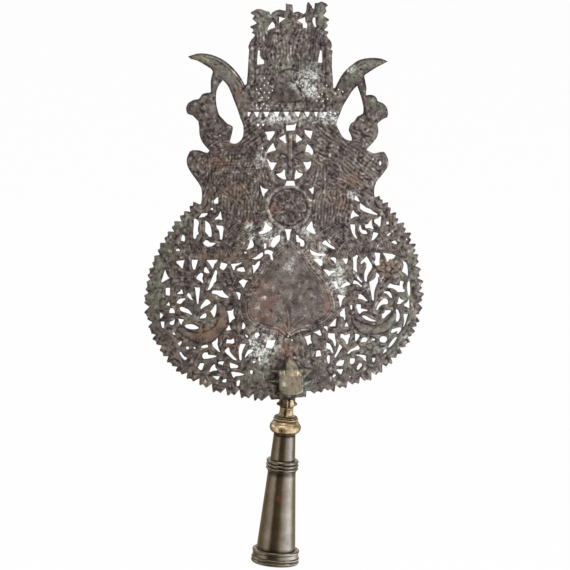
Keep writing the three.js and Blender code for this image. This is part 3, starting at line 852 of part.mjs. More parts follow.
function lowerTube() {
  const spigotRadius = UPPER_FOOT_RADIUS;
  const beadFoot = lowerTop - LOWER_BEAD_HEIGHT;
  const path = new THREE.Path();
  path.moveTo(LOWER_FOOT_RADIUS - LOWER_WALL, lowerFoot);
  path.lineTo(LOWER_FOOT_RADIUS, lowerFoot);
  path.lineTo(LOWER_FOOT_RADIUS, mouthTop);
  path.lineTo(LOWER_TOP_RADIUS, beadFoot);
  addBeads(path, LOWER_TOP_RADIUS, LOWER_TOP_RADIUS + EDGE_ROUND, beadFoot, lowerTop, 1);
  path.lineTo(spigotRadius, lowerTop);
  path.lineTo(spigotRadius, lowerSpigotTop);
  path.lineTo(spigotRadius - LOWER_WALL, lowerSpigotTop);
  path.lineTo(spigotRadius - LOWER_WALL, beadFoot);
  path.lineTo(LOWER_TOP_RADIUS - LOWER_WALL, beadFoot);
  path.lineTo(LOWER_FOOT_RADIUS - LOWER_WALL, mouthTop);
  path.closePath();
  return turned(path);
}

function mouthCollar() {
  const bore = LOWER_FOOT_RADIUS + BORE_CLEARANCE;
  const lipBore = LOWER_FOOT_RADIUS - LOWER_WALL;
  const valley = MOUTH_COLLAR_RADIUS - EDGE_ROUND;
  const beadTop = mouthFoot + MOUTH_BEAD_HEIGHT * 2;
  const path = new THREE.Path();
  path.moveTo(lipBore, mouthFoot);
  path.lineTo(valley, mouthFoot);
  addBeads(path, valley, MOUTH_COLLAR_RADIUS, mouthFoot, beadTop, 2);
  path.lineTo(valley, mouthTop - EDGE_ROUND);
  path.lineTo(valley - EDGE_ROUND, mouthTop);
  path.lineTo(bore, mouthTop);
  path.lineTo(bore, mouthFoot + MOUTH_LIP_THICKNESS);
  path.lineTo(lipBore, mouthFoot + MOUTH_LIP_THICKNESS);
  path.closePath();
  return turned(path);
}

neck.add(
  piece('fork_shank', forkShank(), BRASS),
  piece('leaf_collar', leafCollar(), BRASS),
  piece('neck_baluster', neckBaluster(), BRASS),
  piece('knop', knop(), BRASS),
  piece('socket_upper_tube', upperTube(), DARK_METAL),
  piece('shank_pin', shankPin(), DARK_METAL),
  piece('socket_middle_collar', middleCollar(), DARK_METAL),
  piece('socket_lower_tube', lowerTube(), DARK_METAL),
  piece('socket_mouth_collar', mouthCollar(), DARK_METAL));

const alam = new THREE.Group();
alam.add(
  piece('pierced_plate', piercedPlate(), PLATE_METAL),
  piece('front_star_boss', frontStar(), BRASS),
  piece('rear_star_boss', rearStar(), BRASS),
  piece('boss_rivet', bossRivet(), BRASS),
  neck);
const mouth = new THREE.Vector3(0, 0, mouthFoot).applyMatrix4(neck.matrix);
alam.position.copy(mouth).negate();

export default alam;
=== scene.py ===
from math import cos, pi, radians, sin
import bpy
import numpy as np
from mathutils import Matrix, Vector
from mathutils.geometry import delaunay_2d_cdt
from mathutils.kdtree import KDTree


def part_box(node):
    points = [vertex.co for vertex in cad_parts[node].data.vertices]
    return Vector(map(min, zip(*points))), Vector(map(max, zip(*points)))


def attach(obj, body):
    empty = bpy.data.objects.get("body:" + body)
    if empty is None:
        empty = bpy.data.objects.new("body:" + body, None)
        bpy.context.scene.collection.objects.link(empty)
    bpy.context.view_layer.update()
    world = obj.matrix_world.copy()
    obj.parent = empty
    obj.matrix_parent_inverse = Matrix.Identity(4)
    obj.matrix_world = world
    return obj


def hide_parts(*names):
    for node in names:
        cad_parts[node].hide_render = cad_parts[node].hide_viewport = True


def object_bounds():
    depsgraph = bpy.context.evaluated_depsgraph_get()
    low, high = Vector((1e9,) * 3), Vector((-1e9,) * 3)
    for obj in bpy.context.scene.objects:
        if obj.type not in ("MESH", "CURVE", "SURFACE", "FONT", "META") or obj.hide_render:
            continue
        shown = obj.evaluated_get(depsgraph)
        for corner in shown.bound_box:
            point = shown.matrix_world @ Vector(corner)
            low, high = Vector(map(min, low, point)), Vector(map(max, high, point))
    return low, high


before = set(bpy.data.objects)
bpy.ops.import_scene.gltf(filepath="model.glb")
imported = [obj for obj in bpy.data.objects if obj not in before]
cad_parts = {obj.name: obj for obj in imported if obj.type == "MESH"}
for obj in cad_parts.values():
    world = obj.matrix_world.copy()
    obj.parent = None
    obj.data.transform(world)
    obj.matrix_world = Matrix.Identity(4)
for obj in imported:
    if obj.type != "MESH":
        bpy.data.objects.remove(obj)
cad_low, cad_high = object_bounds()

# The view. The head is seen square from the front and a little from above, from far away, so
# that the camera sees 570 mm of it across. The rivet behind the star is the plate's zero.
MM = 0.001
PHOTO_WIDTH = 570 * MM
VIEW_ELEVATION = radians(13.04)
VIEW_DISTANCE = 20.0
VIEW_REACH = 50.0
VIEW_CENTRE_FROM_RIVET = (-5.0 * MM, 98.0 * MM)
SENSOR_WIDTH = 36.0

rivet_low, rivet_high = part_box("boss_rivet")
rivet = (rivet_low + rivet_high) / 2
target = Vector((rivet.x + VIEW_CENTRE_FROM_RIVET[0], 0, rivet.z + VIEW_CENTRE_FROM_RIVET[1]))


def in_scene(name, data):
    """A new object of the scene."""
    made = bpy.data.objects.new(name, data)
    bpy.context.scene.collection.objects.link(made)
    return made


def looking(name, data, way):
    """An object that stands a way off the target and looks at it."""
    made = in_scene(name, data)
    made.location = target + way
    made.rotation_euler = (-way).to_track_quat("-Z", "Y").to_euler()
    return made


camera_data = bpy.data.cameras.new("photo_view")
camera_data.sensor_width = SENSOR_WIDTH
camera_data.lens = SENSOR_WIDTH * VIEW_DISTANCE / PHOTO_WIDTH
camera_data.clip_end = VIEW_REACH
away = Vector((0, -cos(VIEW_ELEVATION), sin(VIEW_ELEVATION)))
bpy.context.scene.camera = looking("photo_view", camera_data, away * VIEW_DISTANCE)
bpy.context.scene.view_settings.view_transform = "Standard"


# The floor: a sheet of matt white paper under the mouth of the socket. It shows white to the
# camera and in the metal, and keeps a faint shadow.
FLOOR_HALF_WIDTH = 6.0
FLOOR_DROP = 0.6 * MM
PAPER = "#F4F3F1"
PAPER_GLOW = 0.97
WHITE = (1, 1, 1, 1)


def linear(code):
    """The linear colour of an sRGB hex code, with alpha 1."""
    parts = [int(code[i:i + 2], 16) / 255 for i in (1, 3, 5)]
    return tuple(p / 12.92 if p <= 0.04045 else ((p + 0.055) / 1.055) ** 2.4 for p in parts) + (1.0,)


def add_node(tree, kind, inputs, out=0, stops=(), **settings):
    """Add a node and return one output; an input is a value or an output, stops a ramp's colours."""
    node = tree.nodes.new("ShaderNode" + kind)
    for place, _ in stops[2:]:
        node.color_ramp.elements.new(place)
    for element, (place, code) in zip(node.color_ramp.elements if stops else (), stops):
        element.position = place
        element.color = linear(code)
    for name, value in settings.items():
        setattr(node, name, value)
    for name, value in inputs.items():
        if isinstance(value, bpy.types.NodeSocket):
            tree.links.new(value, node.inputs[name])
        else:
            node.inputs[name].default_value = value
    return node.outputs[out] if node.outputs else None


def new_material(name):
    """An empty node material, and its tree."""
    made = bpy.data.materials.new(name)
    made.use_nodes = True
    made.node_tree.nodes.clear()
    return made, made.node_tree


def seen_white(tree):
    """1 for a ray that shows the white, to the camera or in the metal, and 0 for one that lights."""
    shown = add_node(tree, "LightPath", {}, "Is Camera Ray")
    rays = shown.node.outputs
    for kind in ("Is Glossy Ray", "Is Transmission Ray"):
        shown = add_node(tree, "Math", {0: shown, 1: rays[kind]}, operation="MAXIMUM")
    return shown


def object_from(name, points, faces, material):
    """A smooth-shaded mesh object made of points in metres."""
    mesh = bpy.data.meshes.new(name)
    mesh.from_pydata([tuple(p) for p in points], [], [tuple(f) for f in faces])
    mesh.shade_smooth()
    mesh.materials.append(material)
    return in_scene(name, mesh)


paper, tree = new_material("matt_white_paper")
lit = add_node(tree, "BsdfDiffuse", {"Color": linear(PAPER)})
white = add_node(tree, "Emission", {"Color": WHITE, "Strength": 1.0})
share = add_node(tree, "Math", {0: seen_white(tree), 1: PAPER_GLOW}, operation="MULTIPLY")
mixed = add_node(tree, "MixShader", {0: share, 1: lit, 2: white})
add_node(tree, "OutputMaterial", {"Surface": mixed})
floor_level = cad_low.z - FLOOR_DROP
floor_corners = [(s * FLOOR_HALF_WIDTH, t * FLOOR_HALF_WIDTH, floor_level)
                 for s, t in ((-1, -1), (1, -1), (1, 1), (-1, 1))]
floor = object_from("floor", floor_corners, [(0, 1, 2, 3)], paper)


# The light: a white room with tall soft boxes, a bright one at the right and dimmer ones in front,
# above and at the left. Seen from above, the turned metal mirrors the floor, so a ring of cards
# lies there with a low wall of the same cards round it, dim in front, warm and fair at the left
# and bright and cool at the right. Only reflections show them.
ROOM_WHITE = 1.0
ROOM_LIGHT = 0.5
# Name, degrees to the right of the camera, then distance, rise, width and height in metres, and
# radiance
SOFT_BOXES = (("soft_box_right", 68, 2.0, 0.1, 0.95, 2.4, 4.2),
              ("soft_box_front_right", 32, 2.4, 0.4, 1.2, 2.2, 1.5),
              ("soft_box_left", -112, 2.0, 0.1, 0.9, 2.0, 2.4),
              ("soft_box_above", -20, 1.0, 2.2, 1.4, 1.0, 3.0))
CARDS_FROM = 0.03
CARDS_TO = 1.2
CARD_RISE = 0.2 * MM
CARD_WALL = 0.25
CARD_STEP = 2
# Degrees to the right of the camera, and brightness
CARD_TONES = ((-180, 0.5), (-118, 0.6), (-104, 0.75), (-85, 1.3), (-66, 2.0), (-50, 2.0), (-41, 0.9),
              (-33, 0.28), (-20, 0.28), (-8, 0.36), (2, 0.42), (12, 0.95), (22, 1.8), (32, 2.6), (50, 4.6),
              (74, 7.4), (84, 6.8), (95, 4.4), (105, 1.8), (118, 1.1), (140, 0.7), (180, 0.5))
COOL_FROM = 4.2
CARD_COLOURS = ((0.05, "#FFE6B4"), (0.45, "#F6F4F0"), (1.0, "#DFE8F7"))


def add_layer(piece, name, values):
    """Give each point of a piece a value that its material reads by name."""
    layer = piece.data.attributes.new(name, "FLOAT", "POINT")
    layer.data.foreach_set("value", np.asarray(values, np.float32))


def bands(rings, sides):
    """Quads between rings that follow one another, each of so many points."""
    return [(low + k, low + (k + 1) % sides, low + sides + (k + 1) % sides, low + sides + k)
            for low in range(0, (rings - 1) * sides, sides) for k in range(sides)]


room = bpy.data.worlds.new("white_room")
room.use_nodes = True
tree = room.node_tree
tree.nodes.clear()
strength = add_node(tree, "MapRange", {0: seen_white(tree), 3: ROOM_LIGHT, 4: ROOM_WHITE})
glow = add_node(tree, "Background", {"Color": WHITE, "Strength": strength})
add_node(tree, "OutputWorld", {"Surface": glow})
bpy.context.scene.world = room

for name, turn, distance, rise, width, height, radiance in SOFT_BOXES:
    lamp = bpy.data.lights.new(name, "AREA")
    lamp.shape = "RECTANGLE"
    lamp.size = width
    lamp.size_y = height
    lamp.energy = radiance * pi * width * height
    looking(name, lamp, Vector((sin(radians(turn)) * distance, -cos(radians(turn)) * distance, rise)))

cards_paint, tree = new_material("matt_card")
card_tone = add_node(tree, "Attribute", {}, "Fac", attribute_name="brightness")
card_share = add_node(tree, "MapRange", {0: card_tone, 2: COOL_FROM})
card_colour = add_node(tree, "ValToRGB", {"Fac": card_share}, stops=CARD_COLOURS)
shown = add_node(tree, "Emission", {"Color": card_colour, "Strength": card_tone})
add_node(tree, "OutputMaterial", {"Surface": shown})
card_turns = np.arange(-180, 180, CARD_STEP)
card_rims = ((CARDS_FROM, CARD_RISE), (CARDS_TO, CARD_RISE), (CARDS_TO, CARD_WALL))
card_points = [(sin(radians(t)) * reach, -cos(radians(t)) * reach, floor_level + rise)
               for reach, rise in card_rims for t in card_turns]
card_faces = bands(len(card_rims), len(card_turns))
cards = object_from("studio_cards", card_points, card_faces, cards_paint)
add_layer(cards, "brightness", np.tile(np.interp(card_turns, *np.transpose(CARD_TONES)), len(card_rims)))
cards.visible_camera = False
cards.visible_diffuse = False
cards.visible_shadow = False


# The pierced plate: a thick sheet of leaded brass, sawn and filed into leaves, beasts and a
# heart, then chased on its front with scales, feathers, borders and veins. Every cut was made by
# hand, so no two leaves match. A dark patina fills the strokes, and the crests are rubbed pale.
# Places on the plate are [across, up] in mm from the rivet; UP_STRETCH makes a drawn height real.
UP_STRETCH = 1.0269
FRONT_FACING = -0.9
OUTLINE_STEP = 1.2
NEAREST_STEP = 0.35
FIELD_STEP = 0.5
FIELD_LOW = (-150.0, -28.0)
FIELD_HIGH = (142.0, 394.0)
FAR_OFF = 99.0
PLATE_SEED = 16
LINE_PARTS = 6
# Sizes of the spots in which the craftsman's hand wavers, over the plate and within a leaf
HAND_SPOTS = 14
LEAF_SPOTS = 5
STROKE_DEPTH = 0.4
SCALE_LEAN = 38
VEIN_DEPTH = 0.2
VEIN_WIDTH = 0.55
LEAF_ROUND = 3.2

plate_low, plate_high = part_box("pierced_plate")


def outline_loops(node):
    """The closed edges of a node's front face in mm from the rivet, with the metal on their left."""
    edges = set()
    for face in node.data.polygons:
        if face.normal.y > FRONT_FACING:
            continue
        # Corners are compared in whole micrometres
        corners = [node.data.vertices[i].co for i in face.vertices]
        keys = [(round(c.x * 1e6), round(c.z * 1e6)) for c in corners]
        edges ^= {pair if pair[::-1] not in edges else pair[::-1] for pair in zip(keys, keys[1:] + keys[:1])}
    ahead = dict(edges)
    loops = []
    while ahead:
        here = next(iter(ahead))
        loop = []
        while here in ahead:
            loop.append(here)
            here = ahead.pop(here)
        loops.append((np.array(loop) * 1e-6 - (rivet.x, rivet.z)) / MM)
    return loops


def subdivided(loop, longest):
    """A closed loop with points added on its long sides."""
    points = []
    for a, b in zip(loop, np.roll(loop, -1, 0)):
        parts = max(1, int(np.ceil(np.linalg.norm(b - a) / longest)))
        points += [a + (b - a) * k / parts for k in range(parts)]
    return np.array(points)


plate_loops = [subdivided(loop, OUTLINE_STEP) for loop in outline_loops(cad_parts["pierced_plate"])]
edge_start = np.concatenate(plate_loops)
edge_end = np.concatenate([np.roll(loop, -1, 0) for loop in plate_loops])
edge_before = np.concatenate([np.roll(loop, 1, 0) for loop in plate_loops])


def in_metal(row, places):
    """Which places across one row of the plate are metal."""
    crossed = (edge_start[:, 1] <= row) != (edge_end[:, 1] <= row)
    a, b = edge_start[crossed], edge_end[crossed]
    crossings = np.sort(a[:, 0] + (row - a[:, 1]) / (b[:, 1] - a[:, 1]) * (b[:, 0] - a[:, 0]))
    return np.searchsorted(crossings, places) % 2 == 1


field_across = np.arange(FIELD_LOW[0], FIELD_HIGH[0], FIELD_STEP)
field_up = np.arange(FIELD_LOW[1], FIELD_HIGH[1], FIELD_STEP)
across, up = np.meshgrid(field_across, field_up)
metal = np.array([in_metal(row, field_across) for row in field_up])

edge_points = np.concatenate([subdivided(loop, NEAREST_STEP) for loop in plate_loops])
edge_tree = KDTree(len(edge_points))
for i, (a, b) in enumerate(edge_points):
    edge_tree.insert((a, b, 0), i)
edge_tree.balance()
nearest = np.zeros(metal.shape + (2,))
from_edge = np.zeros(metal.shape)
for i, j in zip(*np.nonzero(metal)):
    place, _, distance = edge_tree.find((field_across[j], field_up[i], 0))
    nearest[i, j] = place[:2]
    from_edge[i, j] = distance


def blurred(field, reach):
    """A field blurred over about so many mm."""
    steps = np.arange(-int(3 * reach / FIELD_STEP), int(3 * reach / FIELD_STEP) + 1)
    weights = np.exp(-0.5 * (steps * FIELD_STEP / reach) ** 2)
    weights /= weights.sum()
    for axis in (0, 1):
        field = sum(w * np.roll(field, s, axis) for s, w in zip(steps, weights))
    return field


rng = np.random.default_rng(PLATE_SEED)


def between(grid, size, s, t, soft=False):
    """A grid's values at places; its cells are so many mm, and soft rounds off the steps."""
    s, t = (s - FIELD_LOW[0]) / size, (t - FIELD_LOW[1]) / size
    j, i = s.astype(int), t.astype(int)
    s, t = s - j, t - i
    if soft:
        s, t = s * s * (3 - 2 * s), t * t * (3 - 2 * t)
    low = grid[i, j] * (1 - s) + grid[i, j + 1] * s
    high = grid[i + 1, j] * (1 - s) + grid[i + 1, j + 1] * s
    return low * (1 - t) + high * t


def mottle(size):
    """Smooth random values from -1 to 1, in spots of about so many mm."""
    knots = [int(np.ptp(field) / size + 3) for field in (field_up, field_across)]
    return between(rng.uniform(-1, 1, knots), size, across, up, soft=True)


def mottled(parts):
    """A sum of mottles, each (height, size)."""
    return sum(height * mottle(size) for height, size in parts)


def real(points):
    """Drawn places with their real heights."""
    return np.array(points, float) * (1, UP_STRETCH)


def spline(knots, parts):
    """A smooth line from the second knot to the last but one, its end left out."""
    line = []
    for a, b, c, d in zip(knots, knots[1:], knots[2:], knots[3:]):
        for t in np.arange(parts) / parts:
            line.append(0.5 * (2 * b + (c - a) * t + (2 * a - 5 * b + 4 * c - d) * t ** 2
                               + (3 * b - a - 3 * c + d) * t ** 3))
    return line


def flowing(points, closed=False):
    """A smooth line through drawn places."""
    points = real(points)
    ends = (points[-1:], points[:2]) if closed else (points[:1], points[-1:])
    line = spline(np.concatenate([ends[0], points, ends[1]]), LINE_PARTS)
    return np.array(line + [line[0] if closed else points[-1]])


def along(points, reach, closed=False):
    """For each cell, its distance from the smooth line, and how far along the line it is."""
    apart = np.full(across.shape, FAR_OFF)
    travelled = np.zeros(across.shape)
    gone = 0
    line = flowing(points, closed)
    for a, b in zip(line, line[1:]):
        step = b - a
        length = max(np.hypot(*step), 1e-6)
        i = slice(*np.searchsorted(field_up, [min(a[1], b[1]) - reach, max(a[1], b[1]) + reach]))
        j = slice(*np.searchsorted(field_across, [min(a[0], b[0]) - reach, max(a[0], b[0]) + reach]))
        s, t = across[i, j] - a[0], up[i, j] - a[1]
        share = np.clip((s * step[0] + t * step[1]) / length ** 2, 0, 1)
        gap = np.hypot(s - share * step[0], t - share * step[1])
        nearer = gap < apart[i, j]
        apart[i, j] = np.where(nearer, gap, apart[i, j])
        travelled[i, j] = np.where(nearer, gone + share * length, travelled[i, j])
        gone += length
    return apart, travelled


def within(line):
    """The metal cells inside a closed line of real places."""
    inner = np.zeros(across.shape, bool)
    for a, b in zip(line, np.roll(line, -1, 0)):
        if a[1] == b[1]:
            continue
        i = slice(*np.searchsorted(field_up, sorted((a[1], b[1]))))
        inner[i] ^= across[i] < a[0] + (up[i] - a[1]) / (b[1] - a[1]) * (b[0] - a[0])
    return inner & metal


def area(*points):
    """The metal cells inside drawn corners."""
    return within(real(points))


def moulded(apart, profile):
    """Chased heights in mm, from a profile of (mm from a line, height)."""
    return np.interp(apart, *np.transpose(profile))


def near(values, centre, reach):
    """1 at a centre, fading to 0 within about twice the reach."""
    return np.exp(-((values - centre) / reach) ** 2)


def rounded(reach):
    """How far a rounded edge has risen: 0 at the edge, and 1 from that many mm in."""
    return np.sqrt(1 - (1 - np.clip(from_edge / reach, 0, 1)) ** 2)


hand = mottle(HAND_SPOTS)
leaf_hand = mottle(LEAF_SPOTS)


def strokes(turns):
    """Rounded crests at 0 with a narrow stroke at -1 between, one for each turn."""
    return np.abs(np.sin(pi * turns)) ** 0.6 - 1


def ridges(lean, pitch, sway=0.5):
    """Chased ridges that run at an angle."""
    lean = radians(lean)
    phase = (up * cos(lean) - across * sin(lean)) / pitch + sway * hand + 0.16 * leaf_hand
    return strokes(phase) * (0.85 + 0.5 * leaf_hand)


def scales(lean, pitch):
    """A net of small lozenges."""
    return np.minimum(ridges(lean + SCALE_LEAN, pitch), ridges(lean - SCALE_LEAN, pitch))


# Veins run down the middle of every leaf and stem: there the nearest edge changes sides.
jump = [np.hypot(*np.moveaxis(nearest - np.roll(nearest, 1, axis), 2, 0)) for axis in (1, 0)]
axis_line = (metal & (np.maximum(*jump) > 1.35 * from_edge) & (from_edge > 0.9)).astype(float)
vein = np.clip(blurred(axis_line, VEIN_WIDTH) * 3.2, 0, 1)
dome = rounded(LEAF_ROUND)
relief = np.where(metal, 0.3 * (dome - 1), 0) - VEIN_DEPTH * vein * (0.6 + 0.6 * leaf_hand)
smooth = np.zeros(across.shape)


def chase(zone, height, replace=True):
    """Lay a chased height over a zone, in place of the veins or on top of them."""
    relief[zone] = height[zone] if replace else (relief + height)[zone]


def chase_line(points, profile, zone, closed=False, share=1, replace=True):
    """Chase a profile on both sides of a smooth line, as far out as the profile reaches."""
    reach = profile[-1][0]
    apart, _ = along(points, reach, closed)
    chase(zone & (apart < reach), share * moulded(apart, profile), replace)


# Wings: long feathers, nets of scales and slanting bars. Each row gives the pattern, its lean and
# pitch, its share of the full depth and its corners.
WINGS = (
    (ridges, 84, 3.4, 1, ((-92, 184), (-86, 240), (-40, 262), (-24, 236), (-22, 190), (-29, 160),
                          (-66, 158))),
    (scales, 80, 3.6, 1, ((-88, 184), (-90, 246), (-66, 246), (-63, 186))),
    (scales, 10, 2.5, 1, ((-66, 160), (-23, 166), (-17, 150), (-34, 140), (-62, 137))),
    (scales, 40, 3.2, 1, ((-80, 205), (-84, 232), (-60, 236), (-30, 226), (-28, 206))),
    (ridges, -27, 4.2, 0.85, ((24, 188), (22, 226), (46, 262), (88, 240), (88, 186), (62, 184))),
    (ridges, 80, 3.2, 1, ((22, 140), (22, 192), (62, 190), (62, 138))),
    (ridges, -40, 3.4, 1, ((44, 196), (60, 236), (86, 236), (88, 200), (62, 190))),
    (scales, 0, 2.5, 1, ((22, 137), (22, 157), (60, 160), (62, 138), (45, 134))),
    (ridges, 40, 3.6, 1, ((-50, 236), (-46, 262), (-24, 266), (-24, 234))),
    (ridges, -40, 3.6, 1, ((24, 236), (24, 266), (46, 262), (50, 236))),
)
for pattern, lean, pitch, share, corners in WINGS:
    chase(area(*corners), share * STROKE_DEPTH * pattern(lean, pitch))

# Raised borders of the wings: smooth bands between two strokes, broken off at times.
WING_BORDERS = (
    ((-84, 230), (-72, 239), (-58, 238), (-43, 229), (-34, 214), (-29, 198), (-30, 176)),
    ((-86, 184), (-80, 205), (-82, 228)),
    ((-74, 228), (-62, 232), (-48, 231), (-38, 226)),
    ((-71, 193), (-60, 184), (-47, 172)),
    ((-50, 198), (-41, 186), (-37, 172), (-34, 158)),
    ((84, 228), (72, 240), (58, 238), (48, 228)),
    ((34.3, 214), (34.8, 200), (34, 187)),
    ((38, 187), (41.5, 178), (42, 166)),
    ((38, 205), (56, 199), (74, 189)),
    ((-22, 234), (-26, 214), (-20, 196)),
    ((22, 234), (28, 214), (24, 196)),
)
WING_BORDER = ((0, -0.02), (0.8, -0.05), (1.5, -0.36), (2.0, -0.22), (2.8, 0.0))
for points in WING_BORDERS:
    chase_line(points, WING_BORDER, metal & (leaf_hand + hand > -0.15))

# Tails: broad bands of slanting strokes that reach from the wings to the rim.
TAILS = (
    ((-118.6, 131.4), (-101, 132), (-85, 131), (-63, 127.7), (-46.4, 126), (-31.6, 131.4), (-22.4, 140.7)),
    ((22, 135), (35, 129.6), (51.6, 126.8), (72, 131.4), (90.4, 135), (112.6, 127.7)),
)
TAIL_BORDER = ((3.8, 0), (4.6, -0.22), (5.6, 0))
for points in TAILS:
    apart, travelled = along(points, 7)
    bars = STROKE_DEPTH * strokes(travelled / 2.6 + apart / 4.5 + 0.2 * hand)
    chase(metal & (apart < 6), np.where(apart < 4.2, bars, moulded(apart, TAIL_BORDER)))

# The heart: a smooth low dome inside a ticked band and two raised borders, which fade at the foot,
# where a palmette rises between the lobes.
HEART = ((-1, 146), (-9, 138), (-18, 131), (-27, 120), (-31, 112.5), (-35.5, 105.5), (-40, 98.5),
         (-46, 88), (-48.5, 78), (-48, 67), (-43.5, 57.5), (-34.5, 50.5), (-22, 46.5), (-10, 44.5),
         (-0.5, 42), (8, 44.5), (20, 48.5), (30, 53), (38, 57), (45, 64.5), (48.5, 72), (48, 80),
         (44.5, 91), (41.5, 97), (36, 104.5), (31, 110.5), (25, 117.5), (20, 126), (13, 134), (6, 140))
HEART_BORDER = ((0, -0.3), (0.8, -0.05), (3.6, -0.1), (4.4, 0.08), (5.2, -0.05), (6.2, -0.24), (7.0, 0.08),
                (8.2, -0.22), (9.2, -0.02), (14, 0.05), (34, 0.3))
HEART_BAND = 3.8
HEART_TICKS = 0.36
HEART_PANEL = 9.5
HEART_SMOOTH = 0.78
PALMETTE = (((-2, 44), (-5, 55), (-12, 64)), ((-2, 44), (-1, 58), (-3, 72)), ((-2, 44), (4, 56), (13, 63)),
            ((-2, 44), (-12, 52), (-22, 54)), ((-2, 44), (9, 50), (18, 51)))
PALMETTE_LEAF = ((0, 0.18), (0.6, 0.06), (1.4, -0.28), (2.4, 0))
heart = within(flowing(HEART, closed=True))
apart, travelled = along(HEART, 60, closed=True)
panel = heart & (apart > HEART_PANEL)
border = moulded(apart, HEART_BORDER)
border += np.where(apart < HEART_BAND, HEART_TICKS * strokes(travelled / 2.7 + 0.5 * leaf_hand), 0)
foot = np.exp(-((across + 2) / 20) ** 4 - ((up - 46) / 16) ** 4)
border *= 1 - 0.85 * foot * (apart > HEART_BAND)
for points in PALMETTE:
    apart, _ = along(points, 5)
    border += moulded(apart, PALMETTE_LEAF) * (apart < 2.4)
chase(heart, border)
smooth[panel] = HEART_SMOOTH

PETAL = ((0, 0.12), (0.45, 0.1), (0.8, 0.14), (1.1, -0.12), (1.5, -0.5))


def round_ornament(centre, radius, petals, boss, ring=0.0, turn=0.0, depth=1.0, hollow=0.0):
    """A chased rosette of petals round a boss, in a plain raised ring if it has one."""
    middle = real(centre)
    s, t = across - middle[0], up - middle[1]
    r, angle = np.hypot(s, t) + 0.5 * leaf_hand, np.arctan2(t, s) + turn + 0.16 * leaf_hand
    inner = radius - ring
    turn_off = np.abs((angle * petals / (2 * pi)) % 1 - 0.5) * 2 * pi / petals
    petal_middle = (boss + inner) / 2 + 0.4
    half_length = (inner - boss) / 2 - 0.4
    half_width = petal_middle * pi / petals - 0.4
    far = ((r - petal_middle) / half_length) ** 2 + (turn_off * petal_middle / half_width) ** 2
    height = moulded(far, [(place, level - hollow * (place < 0.5)) for place, level in PETAL])
    height = np.where(r < boss + 0.9, -0.45, height)
    height = np.where(r < boss, 0.2 - 0.3 * (r / boss) ** 2, height)
    if ring:
        wall = moulded(r - inner, ((0, -0.5), (0.9, -0.2), (1.8, 0.45), (ring - 1.2, 0.45), (ring, -0.3)))
        height = np.where(r > inner, wall, height)
    chase(metal & (r < radius), depth * height)


round_ornament((-1.5, 173.5), 23.5, 8, 4.5, ring=5.2, turn=0.3, depth=0.6, hollow=0.38)
round_ornament((0.2, 223.9), 22, 8, 3.5, turn=pi / 8, depth=0.7)
# A plain rib crosses the upper one
RIB = ((0, 0.12), (1.6, 0.08), (2.4, -0.3), (3.4, 0))
chase(area((-3.1, 203), (-3.1, 247), (3.7, 247), (3.7, 203)), moulded(np.abs(across - 0.3), RIB))
SMALL_FLOWERS = ((-107.5, 102, 12), (-61, 98.6, 11), (98, 111.6, 13), (-57.5, 39.4, 10), (79, 34, 11),
                 (-70, 245, 6), (73, 245, 6), (-92, 266, 8), (90, 266, 8))
for s, t, radius in SMALL_FLOWERS:
    round_ornament((s, t), radius, 6, radius * 0.24, depth=0.6, hollow=0.12)

# Two smooth crescents, like boats, low on each side.
CRESCENTS = (
    ((-114, 51), (-105, 43), (-95, 38), (-86, 36.5), (-75, 40), (-66, 50), (-61, 62), (-63, 72),
     (-70, 79), (-76, 76), (-72, 64), (-77, 54), (-88, 49), (-100, 50), (-108, 55)),
    ((62, 66), (67, 61), (76, 57.5), (86, 56), (95, 60), (100, 65), (104, 73), (106, 65), (103, 55),
     (98, 49.5), (91, 46.8), (81, 45.8), (71, 47.5), (64, 54), (61, 60)),
)
CRESCENT_EDGE = ((0, -0.3), (0.8, -0.28), (1.6, -0.02), (2.4, 0.05), (8, 0.2))
for points in CRESCENTS:
    crescent = within(flowing(points, closed=True))
    apart, _ = along(points, 14, closed=True)
    chase(crescent, moulded(apart, CRESCENT_EDGE))
    smooth[crescent & (apart > 1.2)] = 1

# The tower: two plain posts, a net of lozenges round a smooth shrine, and leaves under a dome.
NET_TOP = 304 * UP_STRETCH
NET_HALF_WIDTH = 36
TOWER_LEAVES = 0.36
POST_TOP = 336 * UP_STRETCH
POST = ((33.8, 0), (34.6, -0.14), (35.4, -0.14), (36.6, 0.05), (38.5, 0.1))
SHRINE = ((-18, 279), (-16.5, 290), (-14, 297), (-13.5, 303), (-8, 307.5), (-1, 305), (1.5, 299), (6, 296),
          (10.5, 288), (10, 279))
SHRINE_RISE = 0.1
SHRINE_EDGE = ((0, -0.4), (0.7, -0.35), (1.4, 0), (2, 0.05))
tower = area((-42, 268), (-42, 345), (-33, 352), (0, 370), (33, 352), (42, 345), (42, 268))
off_middle = np.abs(across)
net = STROKE_DEPTH * np.minimum(ridges(58, 4.4, 0.1), ridges(-58, 4.4, 0.1))
leaves = TOWER_LEAVES * ridges(88, 3.6, 1.3)
chase(tower & (off_middle < NET_HALF_WIDTH), np.where(up < NET_TOP, net, leaves))
posts = tower & (off_middle > POST[0][0]) & (up < POST_TOP)
chase(posts, moulded(off_middle, POST) * (1 + leaf_hand), replace=False)
shrine = within(flowing(SHRINE, closed=True))
relief[shrine] = SHRINE_RISE
chase_line(SHRINE, SHRINE_EDGE, tower, closed=True, share=0.35 + 0.65 * (across > 0))
smooth[shrine & (from_edge > 1)] = 1
# A thin line scored over the net, and another under the dome
SCORED = (((-41, 269), (0, 269), (41, 269)), ((-38, 306), (-16, 306), (0, 311), (16, 306), (38, 306)))
SCORED_DEPTH = 0.3
SCORED_WIDTH = 0.7
for points in SCORED:
    apart, _ = along(points, 4)
    line = -SCORED_DEPTH * near(apart, 0, SCORED_WIDTH) * (1 + leaf_hand)
    chase(tower & (apart < 2), line, replace=False)

